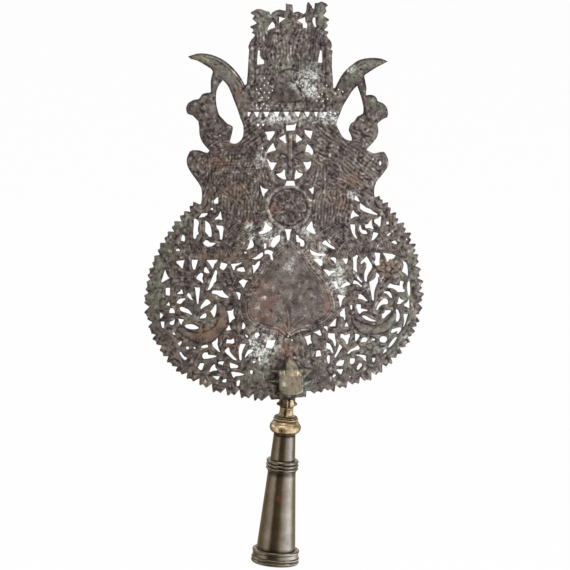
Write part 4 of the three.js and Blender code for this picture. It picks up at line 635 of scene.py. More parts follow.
# Horns, beasts' heads and shoulders are left plain and filed round. A raised line follows the
# outer edge of the left horn.
HORN_FOOT = 262 * UP_STRETCH
HORN_FROM_MIDDLE = 42.5
HORN_ROUND = 7
HORN_SMOOTH = 0.45
HORN_LINE = ((-84, 324), (-72, 320.5), (-63.3, 314.5), (-55.5, 307), (-49, 298.5), (-46.5, 293))
HORN_LINE_EDGE = ((0, 0.3), (0.5, 0.15), (1.1, -0.4), (1.9, 0))
horn = metal & (up > HORN_FOOT) & (off_middle > HORN_FROM_MIDDLE)
chase(horn, 0.7 * (rounded(HORN_ROUND) - 0.7))
smooth[horn & (from_edge > 1)] = HORN_SMOOTH
chase_line(HORN_LINE, HORN_LINE_EDGE, metal, replace=False)

# Short chisel strokes, most of them on the carved parts. Near an edge they run along it.
CHISEL_STROKES = 7000
CHISEL_LENGTHS = (2.5, 8)
CHISEL_SWAY = 0.5
CHISEL_WIDTH = 0.8
CHISEL_HEIGHTS = (-0.3, 0.24)
ALONG_EDGE = 6
# The surface is pitted too, less where it is smooth, and a little warped: heights and sizes in mm
PITS = ((0.04, 1.3), (0.12, 3.4))
WARP = ((0.14, 9),)
edge_lean = np.arctan2(across - nearest[..., 0], nearest[..., 1] - up)
gouge = np.zeros(across.shape)
for _ in range(CHISEL_STROKES):
    j, i = rng.integers(0, across.shape[1]), rng.integers(0, across.shape[0])
    length, sway = rng.uniform(*CHISEL_LENGTHS), rng.normal(0, CHISEL_SWAY)
    height = rng.choice(CHISEL_HEIGHTS)
    if not metal[i, j] or rng.random() < 0.9 * smooth[i, j]:
        continue
    lean = sway + (edge_lean[i, j] if from_edge[i, j] < ALONG_EDGE else 3.2 * hand[i, j])
    reach = int(length / 2 / FIELD_STEP) + 3
    i, j = slice(max(i - reach, 0), i + reach), slice(max(j - reach, 0), j + reach)
    s, t = across[i, j] - across[i, j].mean(), up[i, j] - up[i, j].mean()
    along_it, off_it = s * cos(lean) + t * sin(lean), t * cos(lean) - s * sin(lean)
    mark = near(off_it, 0, CHISEL_WIDTH) * np.clip(1.5 - 3 * np.abs(along_it) / length, 0, 1)
    gouge[i, j] += height * mark
relief += np.where(metal, gouge, 0)
relief += np.where(metal, mottled(PITS) * (1 - 0.6 * smooth), 0)
relief += np.where(metal, mottled(WARP), 0)

# What the eye reads as depth: how far each place lies under or over the metal round it. Both sides
# and the shrine have kept more of their dark patina, and the heart less.
SHADE_REACH = 2.6
SHADE_DEPTH = 0.36
SHADES = ((shrine & (up < 305), -0.45, 1.5), (panel, 0.2 - 0.16 * np.clip(across / 20, 0, 1), 3),
          (heart & ~panel, 0.12, 2))
around = blurred(np.where(metal, relief, 0), SHADE_REACH) / np.maximum(blurred(metal, SHADE_REACH), 1e-3)
cavity = np.clip((relief - around) / SHADE_DEPTH, -1, 1) - 0.10 * np.clip(off_middle / 30 - 0.5, 0, 1)
for zone, shade, reach in SHADES:
    cavity += shade * blurred(zone, reach)
cavity += np.where(up < 265 * UP_STRETCH, 0.06, -0.07) * np.clip(across / 40, -1, 1)
cavity = np.clip(cavity, -1, 1)

# Every edge is filed round.
FILED_EDGE = 1.6
FILED_DROP = 0.35
FILED_DOME = 0.24
relief += np.where(metal, FILED_DOME * (dome - 1), 0)
relief -= FILED_DROP * (1 - np.clip(from_edge / FILED_EDGE, 0, 1)) ** 2

# Where stains lie, by name: the colour, the most that shows of it, and soft round spots, frayed by
# noise, each (across, up, half width, half height)
STAINS = {
    "ochre_film": ("#8A6948", 0.52, (
        (-58, 192, 12, 8), (-50, 180, 5, 8), (-74, 220, 14, 8), (98, 112, 12, 10), (-62, 125, 26, 6),
        (45, 125, 20, 4), (-57, 238, 8, 5), (-84, 46, 20, 8), (-66, 60, 6, 14), (52, 184, 10, 12),
        (64, 200, 10, 6), (-2, 236, 4, 8), (-2, 54, 7, 9), (38, 84, 4, 12), (-95, 322, 8, 4),
        (-50, 286, 4, 10))),
    "red_copper": ("#8E5B49", 0.5, (
        (-27, 78, 12, 20), (-24, 65, 6, 5), (-30, 87.5, 5, 7), (37, 74, 4, 10), (-17, 172, 6, 5),
        (-57, 38, 5, 8), (76, 36, 5, 5), (0, 30, 9, 7), (-38, 160, 8, 5), (-10, 50, 7, 4))),
    "green_rust": ("#7C8A76", 0.5, (
        (-28, 360, 10, 14), (-40, 2, 12, 10), (17, -4, 5, 6), (79, 34, 14, 12), (100, 40, 10, 20),
        (110, 60, 12, 20), (-135, 100, 10, 50), (-30, 15, 10, 20), (12, 312, 20, 10), (-2, 292, 10, 8),
        (-120, 132, 10, 8), (-110, 160, 12, 14), (118, 100, 8, 26), (-92, 254, 3, 3), (60, 18, 14, 10),
        (44, 112, 12, 12), (-97, 66, 6, 10), (-88, 322, 20, 9), (-66, 311, 12, 11), (76, 321, 19, 9),
        (63, 307, 12, 11), (33, 364, 7, 14), (88, 278, 8, 8), (125, 128, 8, 14), (-100, 244, 3, 3))),
    "pale_crust": ("#DADCD6", 1.0, (
        (17, 297, 13, 13), (-40, 155, 5, 4), (48, 102, 9, 14), (-32, 33, 11, 16), (-31, 224, 4, 9),
        (61, 186, 6, 5), (18, 150, 7, 7), (-10, 145, 6, 6), (-38, 141, 5, 5), (-22, 150, 5, 12),
        (30, 122, 5, 10), (36, 262, 16, 6), (-12, 262, 20, 5), (0, 118, 5, 6), (-20, 36, 8, 8),
        (61, 311.5, 5, 3), (-26, 83, 2, 2), (-33, 74, 2, 3))),
}
FRAYS = ((0.4, 1.6), (0.5, 3), (0.4, 7))


def in_spots(s, t, spots, fall):
    """How far each place lies in soft round spots, from 0 to 1."""
    most = np.zeros(np.shape(s))
    for middle, level, width, height in spots:
        far = ((s - middle) / width) ** 2 + ((t - level) / height) ** 2
        most = np.maximum(most, np.exp(-fall * far))
    return most


ragged = mottled(FRAYS)
layers = {"cavity": cavity}
for name, (_, _, spots) in STAINS.items():
    stain = in_spots(across, up / UP_STRETCH, spots, 0.8)
    layers[name] = np.clip(stain + 1.5 * ragged * np.sqrt(stain) - 0.25, 0, 1)

# The mesh: a fine grid of points on the front, coarser where it is smooth, and a coarse one behind.
CARVED_SPACING = 0.85
SMOOTH_SPACING = 1.5
BACK_SPACING = 3.0
EDGE_BAND = 0.45
RING_CLEAR = 0.8 * EDGE_BAND
EDGE_DROP = 0.4
DEEPEST = -1.1
HIGHEST = 0.35
BACK_SUNK = 0.1
BACK_PITS = ((0.25, 11), (0.1, 4))
SHARP_FROM = radians(65)
EDGE_CLEAR = 0.8
# How much of the strokes and of the stains shows on the back
STROKES_BEHIND = 0.05
STAINS_BEHIND = 0.5


def at_points(field, points):
    """A field's values at points."""
    return between(field, FIELD_STEP, *points.T)


def hex_points(spacing, zone):
    """Points of a triangular grid in a zone, kept off the edges."""
    rows = []
    for k, row in enumerate(np.arange(field_up[1], field_up[-2], spacing * sin(pi / 3))):
        places = np.arange(field_across[1] + (k % 2) * spacing / 2, field_across[-2], spacing)
        rows.append(np.column_stack([places, np.full(len(places), row)]))
    points = np.concatenate(rows)
    j, i = np.rint((points - FIELD_LOW) / FIELD_STEP).astype(int).T
    return points[zone[i, j] & (at_points(from_edge, points) > max(EDGE_CLEAR, 0.42 * spacing))]


def filled(points):
    """The loops, a ring just inside them and given points, joined by triangles of metal only."""
    step = edge_end - edge_before
    step /= np.linalg.norm(step, axis=1)[:, None]
    ring = edge_start + np.column_stack([-step[:, 1], step[:, 0]]) * EDGE_BAND
    clear = np.array([edge_tree.find((a, b, 0))[2] for a, b in ring]) > RING_CLEAR
    given = np.concatenate([edge_start, ring[clear], points])
    sides = []
    first = 0
    for loop in plate_loops:
        sides += [(first + k, first + (k + 1) % len(loop)) for k in range(len(loop))]
        first += len(loop)
    places, _, faces, given_of, _, _ = delaunay_2d_cdt([Vector(p) for p in given], sides, [], 0, 1e-5)
    places = np.array(places)
    faces = np.array(faces)
    place_of = {g: k for k, group in enumerate(given_of) for g in group}
    on_edge = np.zeros(len(places), bool)
    on_edge[[place_of[k] for k in range(first)]] = True
    # A triangle between edges alone may fill an opening
    middles = places[faces].mean(1)
    keep = np.ones(len(faces), bool)
    for k in np.nonzero(on_edge[faces].all(1))[0]:
        keep[k] = in_metal(middles[k, 1], middles[k, :1])[0]
    faces = faces[keep]
    a, b, c = (places[faces[:, k]] for k in range(3))
    turned = (b[:, 0] - a[:, 0]) * (c[:, 1] - a[:, 1]) < (b[:, 1] - a[:, 1]) * (c[:, 0] - a[:, 0])
    faces[turned] = faces[turned][:, ::-1]
    return places, faces, on_edge, [(place_of[a], place_of[b]) for a, b in sides]


front, back = plate_low.y, plate_high.y
points = np.concatenate([hex_points(CARVED_SPACING, metal & (smooth < 0.5)),
                         hex_points(SMOOTH_SPACING, metal & (smooth >= 0.5))])
front_places, front_faces, front_edge, front_sides = filled(points)
back_places, back_faces, back_edge, back_sides = filled(hex_points(BACK_SPACING, metal))
height = np.clip(at_points(relief, front_places), DEEPEST, HIGHEST)
front_y = front + np.where(front_edge, EDGE_DROP, -height) * MM
unevenness = at_points(mottled(BACK_PITS), back_places)
back_y = back + np.where(back_edge, -EDGE_DROP, unevenness - BACK_SUNK) * MM
flat = np.concatenate([front_places, back_places])
plate_points = np.column_stack([rivet.x + flat[:, 0] * MM, np.concatenate([front_y, back_y]),
                                rivet.z + flat[:, 1] * MM])
behind = len(front_places)
walls = [(a, behind + c, behind + d, b) for (a, b), (c, d) in zip(front_sides, back_sides)]
plate_faces = front_faces.tolist() + (back_faces[:, ::-1] + behind).tolist() + walls

# Leaded brass with a brown-black patina: half metal to the eye, dull, dark in every stroke and
# rubbed grey-gold on the crests. Chalky crust, green rust, bare red copper and an ochre film of
# old polish lie on it in patches, and the patina itself clouds from brown to violet.
PATINA = ((0.0, "#18110D"), (0.28, "#342B26"), (0.5, "#5E554E"), (0.72, "#817872"), (0.9, "#B4ADA5"),
          (1.0, "#DDD8D0"))
VIOLET_PATINA = ((0.0, "#19131A"), (0.5, "#5C5258"), (0.9, "#AFA7AE"))
# Noises of a metal: the size in mm, the detail and the roughness
PATINA_NOISES = {"grain": (1.5, 3, 0.65), "crumbs": (1.8, 2, 0.5), "blotch": (9, 3, 0.6),
                 "cloud": (26, 5, 0.6)}


def start_metal(name, noises, layers=()):
    """A new material, its tree, the place on the metal, and its noises and layers by name."""
    made, tree = new_material(name)
    place = add_node(tree, "TexCoord", {}, "Object")
    values = {layer: add_node(tree, "Attribute", {}, "Fac", attribute_name=layer) for layer in layers}
    for noise, (size, detail, roughness) in noises.items():
        values[noise] = add_node(tree, "TexNoise", {"Vector": place, "Scale": 1 / (size * MM),
                                                    "Detail": detail, "Roughness": roughness}, "Fac")
    return made, tree, place, values


def sum_of(tree, *parts, start=None):
    """A sum of values, each (value, its low and high, what it counts there)."""
    total = start
    for part in parts:
        term = add_node(tree, "MapRange", dict(enumerate(part)))
        total = term if total is None else add_node(tree, "Math", {0: total, 1: term}, operation="ADD")
    return total


def finish_metal(tree, colour, metallic, dull, height, strength, reach):
    """Give a material its shader; its roughness is one part of a sum, its bumps so many mm deep."""
    bumps = add_node(tree, "Bump", {"Height": height, "Strength": strength, "Distance": reach * MM})
    shader = add_node(tree, "BsdfPrincipled", {"Base Color": colour, "Metallic": metallic,
                                               "Roughness": sum_of(tree, dull), "Normal": bumps})
    add_node(tree, "OutputMaterial", {"Surface": shader})


patina_metal, tree, _, values = start_metal("chased_brass_dark_patina", PATINA_NOISES, layers)
tone = sum_of(tree, (values["cavity"], -1.0, 1.0, 0.12, 0.86), (values["grain"], 0.25, 0.75, -0.17, 0.17),
              (values["blotch"], 0.3, 0.7, -0.16, 0.16), (values["cloud"], 0.3, 0.7, -0.10, 0.12))
crumbly_tone = sum_of(tree, (values["crumbs"], 0.0, 1.0, -1.1, 1.1), start=tone)
colour = add_node(tree, "ValToRGB", {"Fac": tone}, stops=PATINA)
violet = add_node(tree, "ValToRGB", {"Fac": tone}, stops=VIOLET_PATINA)
violet_share = sum_of(tree, (values["cloud"], 0.58, 0.38, 0.0, 0.4))
colour = add_node(tree, "MixRGB", {"Fac": violet_share, "Color1": colour, "Color2": violet})
for name, (code, most, _) in STAINS.items():
    on_crest = sum_of(tree, (crumbly_tone if name == "pale_crust" else tone, 0.2, 0.7, 0.1, most))
    share = add_node(tree, "Math", {0: values[name], 1: on_crest}, operation="MULTIPLY")
    colour = add_node(tree, "MixRGB", {"Fac": share, "Color1": colour, "Color2": linear(code)})
# The crust, mixed in last, isn't metal
metallic = sum_of(tree, (share, 0.0, 0.8, 0.7, 0.1))
finish_metal(tree, colour, metallic, (tone, 0.1, 1.0, 0.72, 0.36), values["grain"], 0.35, 0.35)

plate = object_from("chased_plate", plate_points, plate_faces, patina_metal)
plate.data.set_sharp_from_angle(angle=SHARP_FROM)
for name, field in layers.items():
    share = STROKES_BEHIND if name == "cavity" else STAINS_BEHIND
    add_layer(plate, name, np.concatenate([at_points(field, front_places),
                                           share * at_points(field, back_places)]))
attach(plate, "root")
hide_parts("pierced_plate")


# The star bosses: two cast brass stars that clamp the tab from both sides. Filed facets climb
# from a low rim to a flat face; handling has rounded the edges and rubbed the high ones to yellow
# brass, while the facets below stay brown. The top point of the front one is a swelling leaf. On
# the front one, painted shade darkens the left and lower left facets, the foot of a lump and the
# right edge of the face, and painted highlights lie along the upper edges of its points.
STAR_VOXEL = 0.45
STAR_WORN_PASSES = 22
# The middle of the face, and its half width and half height
STAR_FACE = (1.2, 10.6, 11.2)
LEAF_FOOT = 6.5
LEAF_TIP = 26.8
LEAF_HALF_WIDTH = 5.6
LEAF_MIDDLE = 2.3
LEAF_SWAY = 1.8
LEAF_SWELL = 1.9
LEAF_WIDENING = 0.8
FURROW_DEPTH = 0.6
# A lump and a pit of the casting: across, up, reach and depth
LUMP = (-7.1, -0.8, 2.6, 1.2)
PIT = (0.5, -14.2, 2.2 ** 0.5, -1.4)
STAR_PATINA = ((0.0, "#15110D"), (0.25, "#332D26"), (0.5, "#6E665D"), (0.75, "#9C9079"), (1.0, "#D9CDB2"))
STAR_RUST = "#6F7D73"
STAR_NOISES = {"grain": (1.1, 3, 0.6), "cloud": (5, 3, 0.5)}
FILE_MARK = 1.3
# Where the front star is rubbed bright and where painted highlights lie on it, where painted
# shade darkens it, and where green rust sits: across, up and half sizes in mm
RUBBED_AND_HIGHLIT_SPOTS = ((2.0, 17, 4.4, 8.5), (-7.1, -1.2, 2.6, 3.0), (-15, 11.0, 7.5, 0.8), (15, 11, 9, 1.6),
                (-18.5, 0.6, 4.0, 1.0), (-9.3, 9.5, 1.6, 1.8), (3, -14.5, 7, 1.6))
PAINTED_SHADE_SPOTS = ((12.8, 2, 1.4, 9), (-16, 4.5, 6, 5), (-15, -6, 6, 6), (-10, -16, 6, 4), (-8, -9.5, 3.5, 3.5),
              (-7.5, -5.2, 3.2, 1.0))
RUST_SPOTS = ((17.5, -2, 5, 7), (10, -10, 6, 4), (1, -17, 9, 3), (-13, 3, 4, 2))

cast_brass, tree, place, values = start_metal("cast_brass_worn_patina", STAR_NOISES,
                                              ("rubbed_and_highlit", "brown_facets_and_shade", "green_rust"))
edge = add_node(tree, "NewGeometry", {}, "Pointiness")
# File marks run up the star: noise drawn out eight times along its height
drawn_out = add_node(tree, "Mapping", {"Vector": place, "Scale": (1.0, 1.0, 0.12)})
filed = add_node(tree, "TexNoise", {"Vector": drawn_out, "Scale": 1 / (FILE_MARK * MM)}, "Fac")
# The brown facets and the painted shade darken the tone; rubbed brass and painted highlights lighten it
tone = sum_of(tree, (values["grain"], 0.25, 0.75, 0.51, 0.79), (edge, 0.44, 0.56, -0.24, 0.08),
              (values["cloud"], 0.3, 0.7, -0.12, 0.14), (values["brown_facets_and_shade"], 0.0, 2.0, 0.04, -0.60),
              (filed, 0.3, 0.7, -0.09, 0.09), (values["rubbed_and_highlit"], 0.0, 1.0, 0.0, 0.25))
colour = add_node(tree, "ValToRGB", {"Fac": tone}, stops=STAR_PATINA)
rust = add_node(tree, "Math", {0: values["green_rust"], 1: values["grain"]}, operation="MULTIPLY")
colour = add_node(tree, "MixRGB", {"Fac": rust, "Color1": colour, "Color2": linear(STAR_RUST)})
finish_metal(tree, colour, 0.85, (tone, 0.2, 1.0, 0.62, 0.38), values["grain"], 0.5, 0.3)


def worn_star(name, node, front_leaf):
    """A CAD star with rounded edges, and a swelling leaf for its top point."""
    star = in_scene(name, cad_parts[node].data.copy())
    remesh = star.modifiers.new("remesh", "REMESH")
    remesh.mode = "VOXEL"
    remesh.voxel_size = STAR_VOXEL * MM
    remesh.use_smooth_shade = True
    worn = star.modifiers.new("worn", "SMOOTH")
    worn.factor = 0.5
    worn.iterations = STAR_WORN_PASSES
    star.data = bpy.data.meshes.new_from_object(star.evaluated_get(bpy.context.evaluated_depsgraph_get()))
    star.modifiers.clear()
    star.data.materials.clear()
    star.data.materials.append(cast_brass)
    points = np.zeros(len(star.data.vertices) * 3)
    star.data.vertices.foreach_get("co", points)
    points = points.reshape(-1, 3)
    s, t = ((points[:, (0, 2)] - (rivet.x, rivet.z)) / MM).T
    if front_leaf:
        ahead = (points[:, 1] < front) * MM
        share = np.clip((t - LEAF_FOOT) / (LEAF_TIP - LEAF_FOOT), 0, 1)
        half = LEAF_HALF_WIDTH * (1 - share ** 1.6) ** 0.6 + 0.3
        off_leaf = s - LEAF_MIDDLE + LEAF_SWAY * share ** 2
        leaf = np.sqrt(np.clip(1 - (off_leaf / half) ** 2, 0, 1)) * np.sin(pi * share) ** 0.6
        furrow = near(off_leaf + half, -0.9, 0.8) * np.clip(8 * share * (1 - share), 0, 1)
        widening = LEAF_WIDENING * np.sin(pi * share) ** 0.7 * np.exp(-(off_leaf / 5) ** 4)
        rise = LEAF_SWELL * leaf - FURROW_DEPTH * furrow
        for middle, level, reach, height in (LUMP, PIT):
            rise += height * near(s, middle, reach) * near(t, level, reach)
        points[:, 0] += ahead * widening * off_leaf
        points[:, 1] -= ahead * rise
        star.data.vertices.foreach_set("co", points.ravel())
    centre, half_width, half_height = STAR_FACE
    off_face = np.maximum(np.abs(s - centre) - half_width, np.abs(t) - half_height)
    # Rubbed brass with painted highlights, painted shade on top of the brown facets, and green rust
    rubbed_and_highlit, dark, green = (in_spots(s, t, spots, 0.9) * front_leaf
                           for spots in (RUBBED_AND_HIGHLIT_SPOTS, PAINTED_SHADE_SPOTS, RUST_SPOTS))
    add_layer(star, "rubbed_and_highlit", rubbed_and_highlit)
    add_layer(star, "green_rust", green)
    add_layer(star, "brown_facets_and_shade", np.clip(off_face / 2.5, 0, 1) + dark)
    star.data.update()
    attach(star, "root")
    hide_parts(node)


worn_star("worn_front_star", "front_star_boss", True)
worn_star("worn_rear_star", "rear_star_boss", False)


# The rivet through both stars, with a hammered head behind, and the forged fork that grips the
# tab and runs down inside the neck. Nobody rubs them, so the brass is brown and green: half dull
# oxide to the eye, with little shine.
FORGED_TONES = ((0.0, "#1E1A12"), (0.4, "#3F392B"), (0.7, "#5F5A49"), (1.0, "#7F8371"))
FORGED_NOISES = {"scale": (2.5, 4, 0.65)}

forged_brass, tree, _, values = start_metal("forged_brass_brown_oxide", FORGED_NOISES)
tone = sum_of(tree, (values["scale"], 0.3, 0.7, 0.1, 0.95))
colour = add_node(tree, "ValToRGB", {"Fac": tone}, stops=FORGED_TONES)
finish_metal(tree, colour, 0.6, (tone, 0.0, 1.0, 0.62, 0.45), values["scale"], 0.5, 0.3)
for node in ("boss_rivet", "fork_shank"):
    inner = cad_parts[node]
    inner.data.materials.clear()
    inner.data.materials.append(forged_brass)


# The neck: a calyx of leaves, a flaring stem with ring mouldings and a cushion knop, cast in
# yellow brass, turned, and strung on the shank. The hand has worn the knop into soft dents, and
# brown tarnish stays in the hollows. Painted shade, marked below, goes into the same layer as the
# tarnish. Radii and heights are in mm, from the socket's mouth up.
NECK_LEAN = radians(4.24)
TURNED_SIDES = 144
CURVE_PARTS = 5
BRASS_TONES = ((0.0, "#281D11"), (0.3, "#574933"), (0.55, "#88775A"), (0.8, "#B7A483"), (1.0, "#E4D3B6"))
BRASS_NOISES = {"grain": (1.4, 4, 0.6), "cloud": (7, 3, 0.5)}
neck_up = Vector((sin(NECK_LEAN), 0, cos(NECK_LEAN)))
neck_right = Vector((cos(NECK_LEAN), 0, -sin(NECK_LEAN)))


def turned(name, profile, material, wear=None, sharp=38):
    """A ring turned on the neck's axis from a closed profile of (radius, height)."""
    profile = np.array(profile, float)
    turns = np.linspace(0, 2 * pi, TURNED_SIDES, endpoint=False)
    radius = np.repeat(profile[:, :1], TURNED_SIDES, 1)
    height = np.repeat(profile[:, 1:], TURNED_SIDES, 1)
    if wear:
        radius, height = wear(radius, height, turns[None, :])
    right, forward = radius * np.cos(turns), radius * np.sin(turns)
    points = (right[..., None] * np.array(neck_right) + height[..., None] * np.array(neck_up)
              - forward[..., None] * np.array((0, 1, 0))) * MM
    # The last band closes on the first ring again
    faces = [(a, d % radius.size, c % radius.size, b)
             for a, b, c, d in bands(len(profile) + 1, TURNED_SIDES)]
    made = object_from(name, points.reshape(-1, 3), faces, material)
    made.data.set_sharp_from_angle(angle=radians(sharp))
    return made, radius.ravel(), height.ravel(), np.tile(turns, len(profile))


def bead(inner, outer, low, high, steps=8):
    """The outward half round of a bead, from its low edge to its high one."""
    share = np.linspace(0, 1, steps + 1)
    return [(inner + (outer - inner) * sin(pi * t) ** 0.8, low + (high - low) * t) for t in share]


def curved(*corners):
    """A smooth run of profile points through corners."""
    return spline(np.array((corners[0],) + corners + (corners[-1],), float), CURVE_PARTS) + [corners[-1]]


def degrees_from(turns, middle):
    """How far turns round the axis lie from one in degrees, -180 to 180."""
    return (np.degrees(turns) - middle + 180) % 360 - 180


yellow_brass, tree, _, values = start_metal("turned_yellow_brass_tarnished", BRASS_NOISES, ("tarnish_and_shade",))
tone = sum_of(tree, (values["grain"], 0.25, 0.75, 0.54, 0.86), (values["cloud"], 0.3, 0.7, -0.14, 0.14),
              (values["tarnish_and_shade"], 0.0, 1.0, 0.0, -0.62))
colour = add_node(tree, "ValToRGB", {"Fac": tone}, stops=BRASS_TONES)
finish_metal(tree, colour, 0.95, (tone, 0.2, 1.0, 0.5, 0.22), values["cloud"], 0.6, 0.6)

# The calyx. Its six leaves stand proud: those at the sides curl out, the others climb the fork.
RIGHT_LEAF = radians(47)
LEFT_LEAF = radians(112)
LEAVES_APART = radians(60)
calyx_profile = ([(4.8, 158.6), (6.5, 158.6), (6.75, 158.9), (6.75, 160.4)]
                 + curved((6.8, 160.6), (7.0, 161.4), (7.2, 163), (7.1, 164.2), (6.9, 164.8), (6.4, 165.2))
                 + [(6.1, 164.9), (6.1, 164.1), (4.8, 164.1)])


def off_leaf(turns):
    """The angle from the nearest leaf of the calyx."""
    return np.abs((turns - RIGHT_LEAF + LEAVES_APART / 2) % LEAVES_APART - LEAVES_APART / 2)


def leafy(radius, height, turns):
    """The calyx with its leaves bent."""
    away = off_leaf(turns)
    outer = radius > 6.0
    tongue = np.clip((0.44 - away) / 0.12, 0, 1) * np.clip((height - 160.6) / 1.2, 0, 1)
    at_side = near(np.abs(np.cos(turns)), 1, 0.16)
    curl = 2.7 * np.exp(-((height - 163.4) / 1.9) ** 4) * near(away, 0, 0.3) * at_side
    climb = np.clip((height - 164.0) / 0.8, 0, 1) * (4.4 - 6.0 * away ** 2) * (1 - at_side) * outer
    return radius + outer * (0.7 * tongue + curl), height + np.maximum(climb, 0)


calyx, radius, height, turns = turned("leaf_calyx", calyx_profile, yellow_brass, leafy, sharp=70)
# Painted shade darkens the leaf at the camera's left
shaded_left_leaf = near(turns, LEFT_LEAF, 0.45) * (height > 160)
calyx_tarnish_and_shade = np.clip(0.9 * (off_leaf(turns) > 0.42) + 0.55 + 0.3 * shaded_left_leaf, 0, 1) * (height > 160.4)
calyx_tarnish_and_shade = np.where(np.abs(height - 160.7) < 0.5, 0.9, calyx_tarnish_and_shade)
# The leaf at the camera's right front is lighter: a painted highlight
calyx_tarnish_and_shade *= 1 - 0.15 * near(turns, RIGHT_LEAF, 0.35) * (height > 161)
# Painted shade darkens the sides that the camera sees edge on
calyx_tarnish_and_shade = np.maximum(calyx_tarnish_and_shade, 0.8 * (np.abs(np.cos(turns)) > 0.82) * (height > 161))

# The stem. Painted shade darkens its side to the camera's left and back, a band just left of
# its front to the camera, and its right front where the highlight falls; its lower part and its
# grooves are brown with tarnish.
stem_profile = ([(4.8, 143.8), (14.0, 143.8)]
                + curved((14.0, 143.9), (13.5, 144.8), (12.7, 145.8), (12.0, 146.4)) + [(11.8, 146.7)]
                + bead(11.9, 12.5, 146.9, 149.2) + [(11.4, 149.4)] + bead(11.3, 11.6, 149.5, 150.6, 6)
                + curved((10.6, 150.9), (9.2, 151.3), (7.9, 152.3), (7.1, 154.0), (6.8, 156.0),
                         (6.75, 158.0), (6.5, 158.3)) + [(4.8, 158.3)])
GROOVES = (146.7, 149.4, 150.9)
STEM_FOOT = 151
stem, radius, height, turns = turned("flared_stem", stem_profile, yellow_brass)
shaded_left_side = (turns > radians(120)) * (turns < radians(300))
upper_stem_shade_and_tarnish = 0.15 + near(turns, radians(101), 0.2) + 0.3 * shaded_left_side
stem_tarnish_and_shade = np.where(height > STEM_FOOT, upper_stem_shade_and_tarnish, 0.22) + 0.25 * near(turns, radians(62), 0.35)
stem_tarnish_and_shade += sum(near(height, groove, 0.4) for groove in GROOVES)

# The knop. Each dent gives its turn and height, half width and half height, and depth.
KNOP_DENTS = ((104, 138.6, 9, 2.0, 1.0), (70, 137.2, 22, 2.0, 0.5), (135, 137.5, 16, 2.4, 0.5),
              (84, 141.4, 10, 1.5, 0.35), (52, 140, 12, 2.2, 0.45), (200, 139, 30, 3, 0.5),
              (300, 138, 26, 3, 0.6))
knop_profile = ([(4.8, 132.3), (10.8, 132.3)]
                + curved((11.0, 132.7), (11.6, 133.8), (13.4, 134.8), (14.9, 136.4), (15.7, 138.4),
                         (15.8, 140.2), (15.4, 141.7), (14.6, 142.9), (14.1, 143.5)) + [(4.8, 143.5)])


def dented(radius, height, turns):
    """The knop with its soft dents."""
    for turn, level, width, tall, depth in KNOP_DENTS:
        dent = near(degrees_from(turns, turn), 0, width) * near(height, level, tall)
        radius = radius - depth * dent * (radius > 9)
    return radius, height


knop, radius, height, turns = turned("cushion_knop", knop_profile, yellow_brass, dented, sharp=60)
# Tarnish stays in the deep dent; painted shade darkens the underside, the left and right sides that the
# camera sees edge on, and the right front where the highlight falls
dent_stain = near(degrees_from(turns, 103), 0, 6) * near(height, 138.4, 1.6)
painted_underside_shade = np.clip((136.6 - height) / 1.2, 0, 1)
painted_side_shade = 0.55 * np.clip((np.abs(np.cos(turns)) - 0.8) / 0.15, 0, 1)
knop_tarnish_and_shade = dent_stain + painted_underside_shade + painted_side_shade + 0.4 * near(np.degrees(turns), 54, 20)

for made, node, tarnish_and_shade in ((calyx, "leaf_collar", calyx_tarnish_and_shade), (stem, "neck_baluster", stem_tarnish_and_shade),
                            (knop, "knop", knop_tarnish_and_shade)):
    add_layer(made, "tarnish_and_shade", np.clip(tarnish_and_shade, 0, 1))
    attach(made, "root")
    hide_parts(node)


# The socket: two tapered tubes rolled from brass sheet and joined under a beaded ring, with a
# second ring round the mouth, all gone brown-black and polished by the hand. It is smooth and
# glossy, so the soft boxes stand on it as long soft bands.
SOCKET_TONES = ((0.0, "#2F2820"), (0.35, "#494138"), (0.65, "#625A4F"), (1.0, "#80786D"))
SOCKET_NOISES = {"grain": (1.8, 4, 0.6), "cloud": (16, 3, 0.5)}
# A blot of red wax: its colour, turn, height and half sizes
RED_WAX = "#6E2B28"
WAX_TURN = 93
WAX_HEIGHT = 69.0
WAX_SIZE = (13, 2.6)
WALL_ROWS = 24

socket_metal, tree, _, values = start_metal("polished_dark_patinated_brass", SOCKET_NOISES, ("soil_and_shade", "wax"))
tone = sum_of(tree, (values["cloud"], 0.3, 0.7, 0.42, 0.72), (values["grain"], 0.25, 0.75, -0.09, 0.09),
              (values["soil_and_shade"], 0.0, 1.0, 0.0, -0.6))
colour = add_node(tree, "ValToRGB", {"Fac": tone}, stops=SOCKET_TONES)
colour = add_node(tree, "MixRGB", {"Fac": values["wax"], "Color1": colour, "Color2": linear(RED_WAX)})
metallic = sum_of(tree, (values["wax"], 0.0, 1.0, 0.92, 0.2))
finish_metal(tree, colour, metallic, (tone, 0.1, 0.8, 0.22, 0.1), values["cloud"], 0.5, 0.5)


def socket_piece(name, node, profile, dirt_and_shade_bands, waxed=False):
    """A turned piece of the socket, darkened round the given heights by dirt and painted shade."""
    made, radius, height, turns = turned(name, profile, socket_metal)
    far = (degrees_from(turns, WAX_TURN) / WAX_SIZE[0]) ** 2 + ((height - WAX_HEIGHT) / WAX_SIZE[1]) ** 2
    add_layer(made, "soil_and_shade", np.clip(sum(near(height, level, reach) for level, reach in dirt_and_shade_bands), 0, 1))
    add_layer(made, "wax", np.exp(-far ** 1.5) * waxed)
    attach(made, "root")
    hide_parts(node)


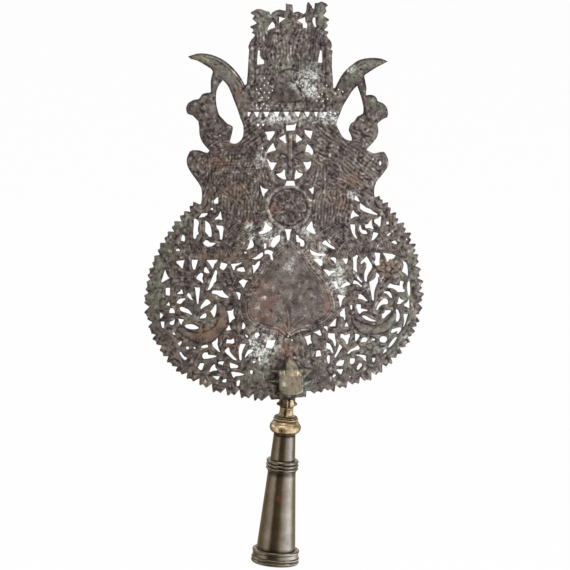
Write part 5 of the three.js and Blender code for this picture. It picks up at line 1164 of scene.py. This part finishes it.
rows = np.linspace(0, 1, WALL_ROWS)
# Dirt and painted shade darken the top of the upper tube under the knop; dirt lies round its foot
socket_piece("upper_socket_tube", "socket_upper_tube",
             [(10.4, 101.1), (12.5, 101.1)] + [(12.5 - 1.5 * t, 106.4 + 25.2 * t) for t in rows]
             + [(10.85, 131.85), (10.6, 132.0), (4.8, 132.0), (4.8, 126.0), (8.9, 126.0)],
             ((131.9, 1.1), (106.4, 0.7)))
# Painted shade darkens the lower tube just under the beaded ring; dirt lies round its foot
socket_piece("lower_socket_tube", "socket_lower_tube",
             [(17.3, 2.4), (19.5, 2.4)] + [(19.5 - 5.5 * t, 14.1 + 78.4 * t) for t in rows]
             + bead(14.0, 14.2, 92.5, 94.7)
             + [(12.5, 94.7), (12.5, 100.8), (10.3, 100.8), (10.3, 92.5), (11.8, 92.5), (17.3, 14.1)],
             ((93.4, 1.9), (14.3, 1.0)), waxed=True)
socket_piece("beaded_middle_collar", "socket_middle_collar",
             [(12.8, 95.0), (14.5, 95.0)] + bead(14.5, 14.9, 95.0, 95.8, 4) + bead(15.0, 16.25, 95.9, 98.9)
             + bead(15.0, 16.35, 99.1, 102.6) + bead(15.0, 16.2, 102.8, 106.4) + [(12.8, 106.4)],
             ((95.8, 0.3), (99.0, 0.3), (102.7, 0.3)))
socket_piece("beaded_mouth_collar", "socket_mouth_collar",
             [(17.3, 0.0), (23.3, 0.0)] + bead(23.3, 24.15, 0.0, 3.4) + bead(23.2, 24.0, 3.7, 6.6)
             + curved((23.1, 6.9), (23.0, 8.5), (22.9, 10.6)) + bead(22.9, 23.6, 10.8, 13.9)
             + [(22.4, 14.1), (19.8, 14.1), (19.8, 2.1), (17.3, 2.1)],
             ((3.55, 0.35), (6.7, 0.35), (10.7, 0.4)))


# The pin that locks the shank in the socket: a brass rod hammered in from side to side, seen as
# one dark round spot near the top of the tube.
PIN_TURN = radians(24)
PIN_LEVEL = 129.48
PIN_REACH = 11.05
PIN_SIDES = 24
# The rings of its rear end, from the tip in: radius, and how far short of the reach
PIN_END = ((0.6, 0), (1.2, 0.15), (1.4, 0.5))
PIN_SOIL = 0.9

pin_way = neck_right * sin(PIN_TURN) + Vector((0, -cos(PIN_TURN), 0))
pin_side = neck_right * cos(PIN_TURN) + Vector((0, sin(PIN_TURN), 0))
pin_rings = [(radius, short - PIN_REACH) for radius, short in PIN_END]
pin_rings += [(radius, -reach) for radius, reach in pin_rings[::-1]]
pin_points = [(neck_up * (PIN_LEVEL + radius * sin(turn)) + pin_side * radius * cos(turn)
               + pin_way * reach) * MM
              for radius, reach in pin_rings for turn in np.linspace(0, 2 * pi, PIN_SIDES, endpoint=False)]
corners = range(len(pin_points))
pin_faces = bands(len(pin_rings), PIN_SIDES) + [corners[:PIN_SIDES][::-1], corners[-PIN_SIDES:]]
pin = object_from("hammered_pin", pin_points, pin_faces, socket_metal)
add_layer(pin, "soil_and_shade", np.full(len(pin_points), PIN_SOIL))
add_layer(pin, "wax", np.zeros(len(pin_points)))
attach(pin, "root")
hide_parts("shank_pin")
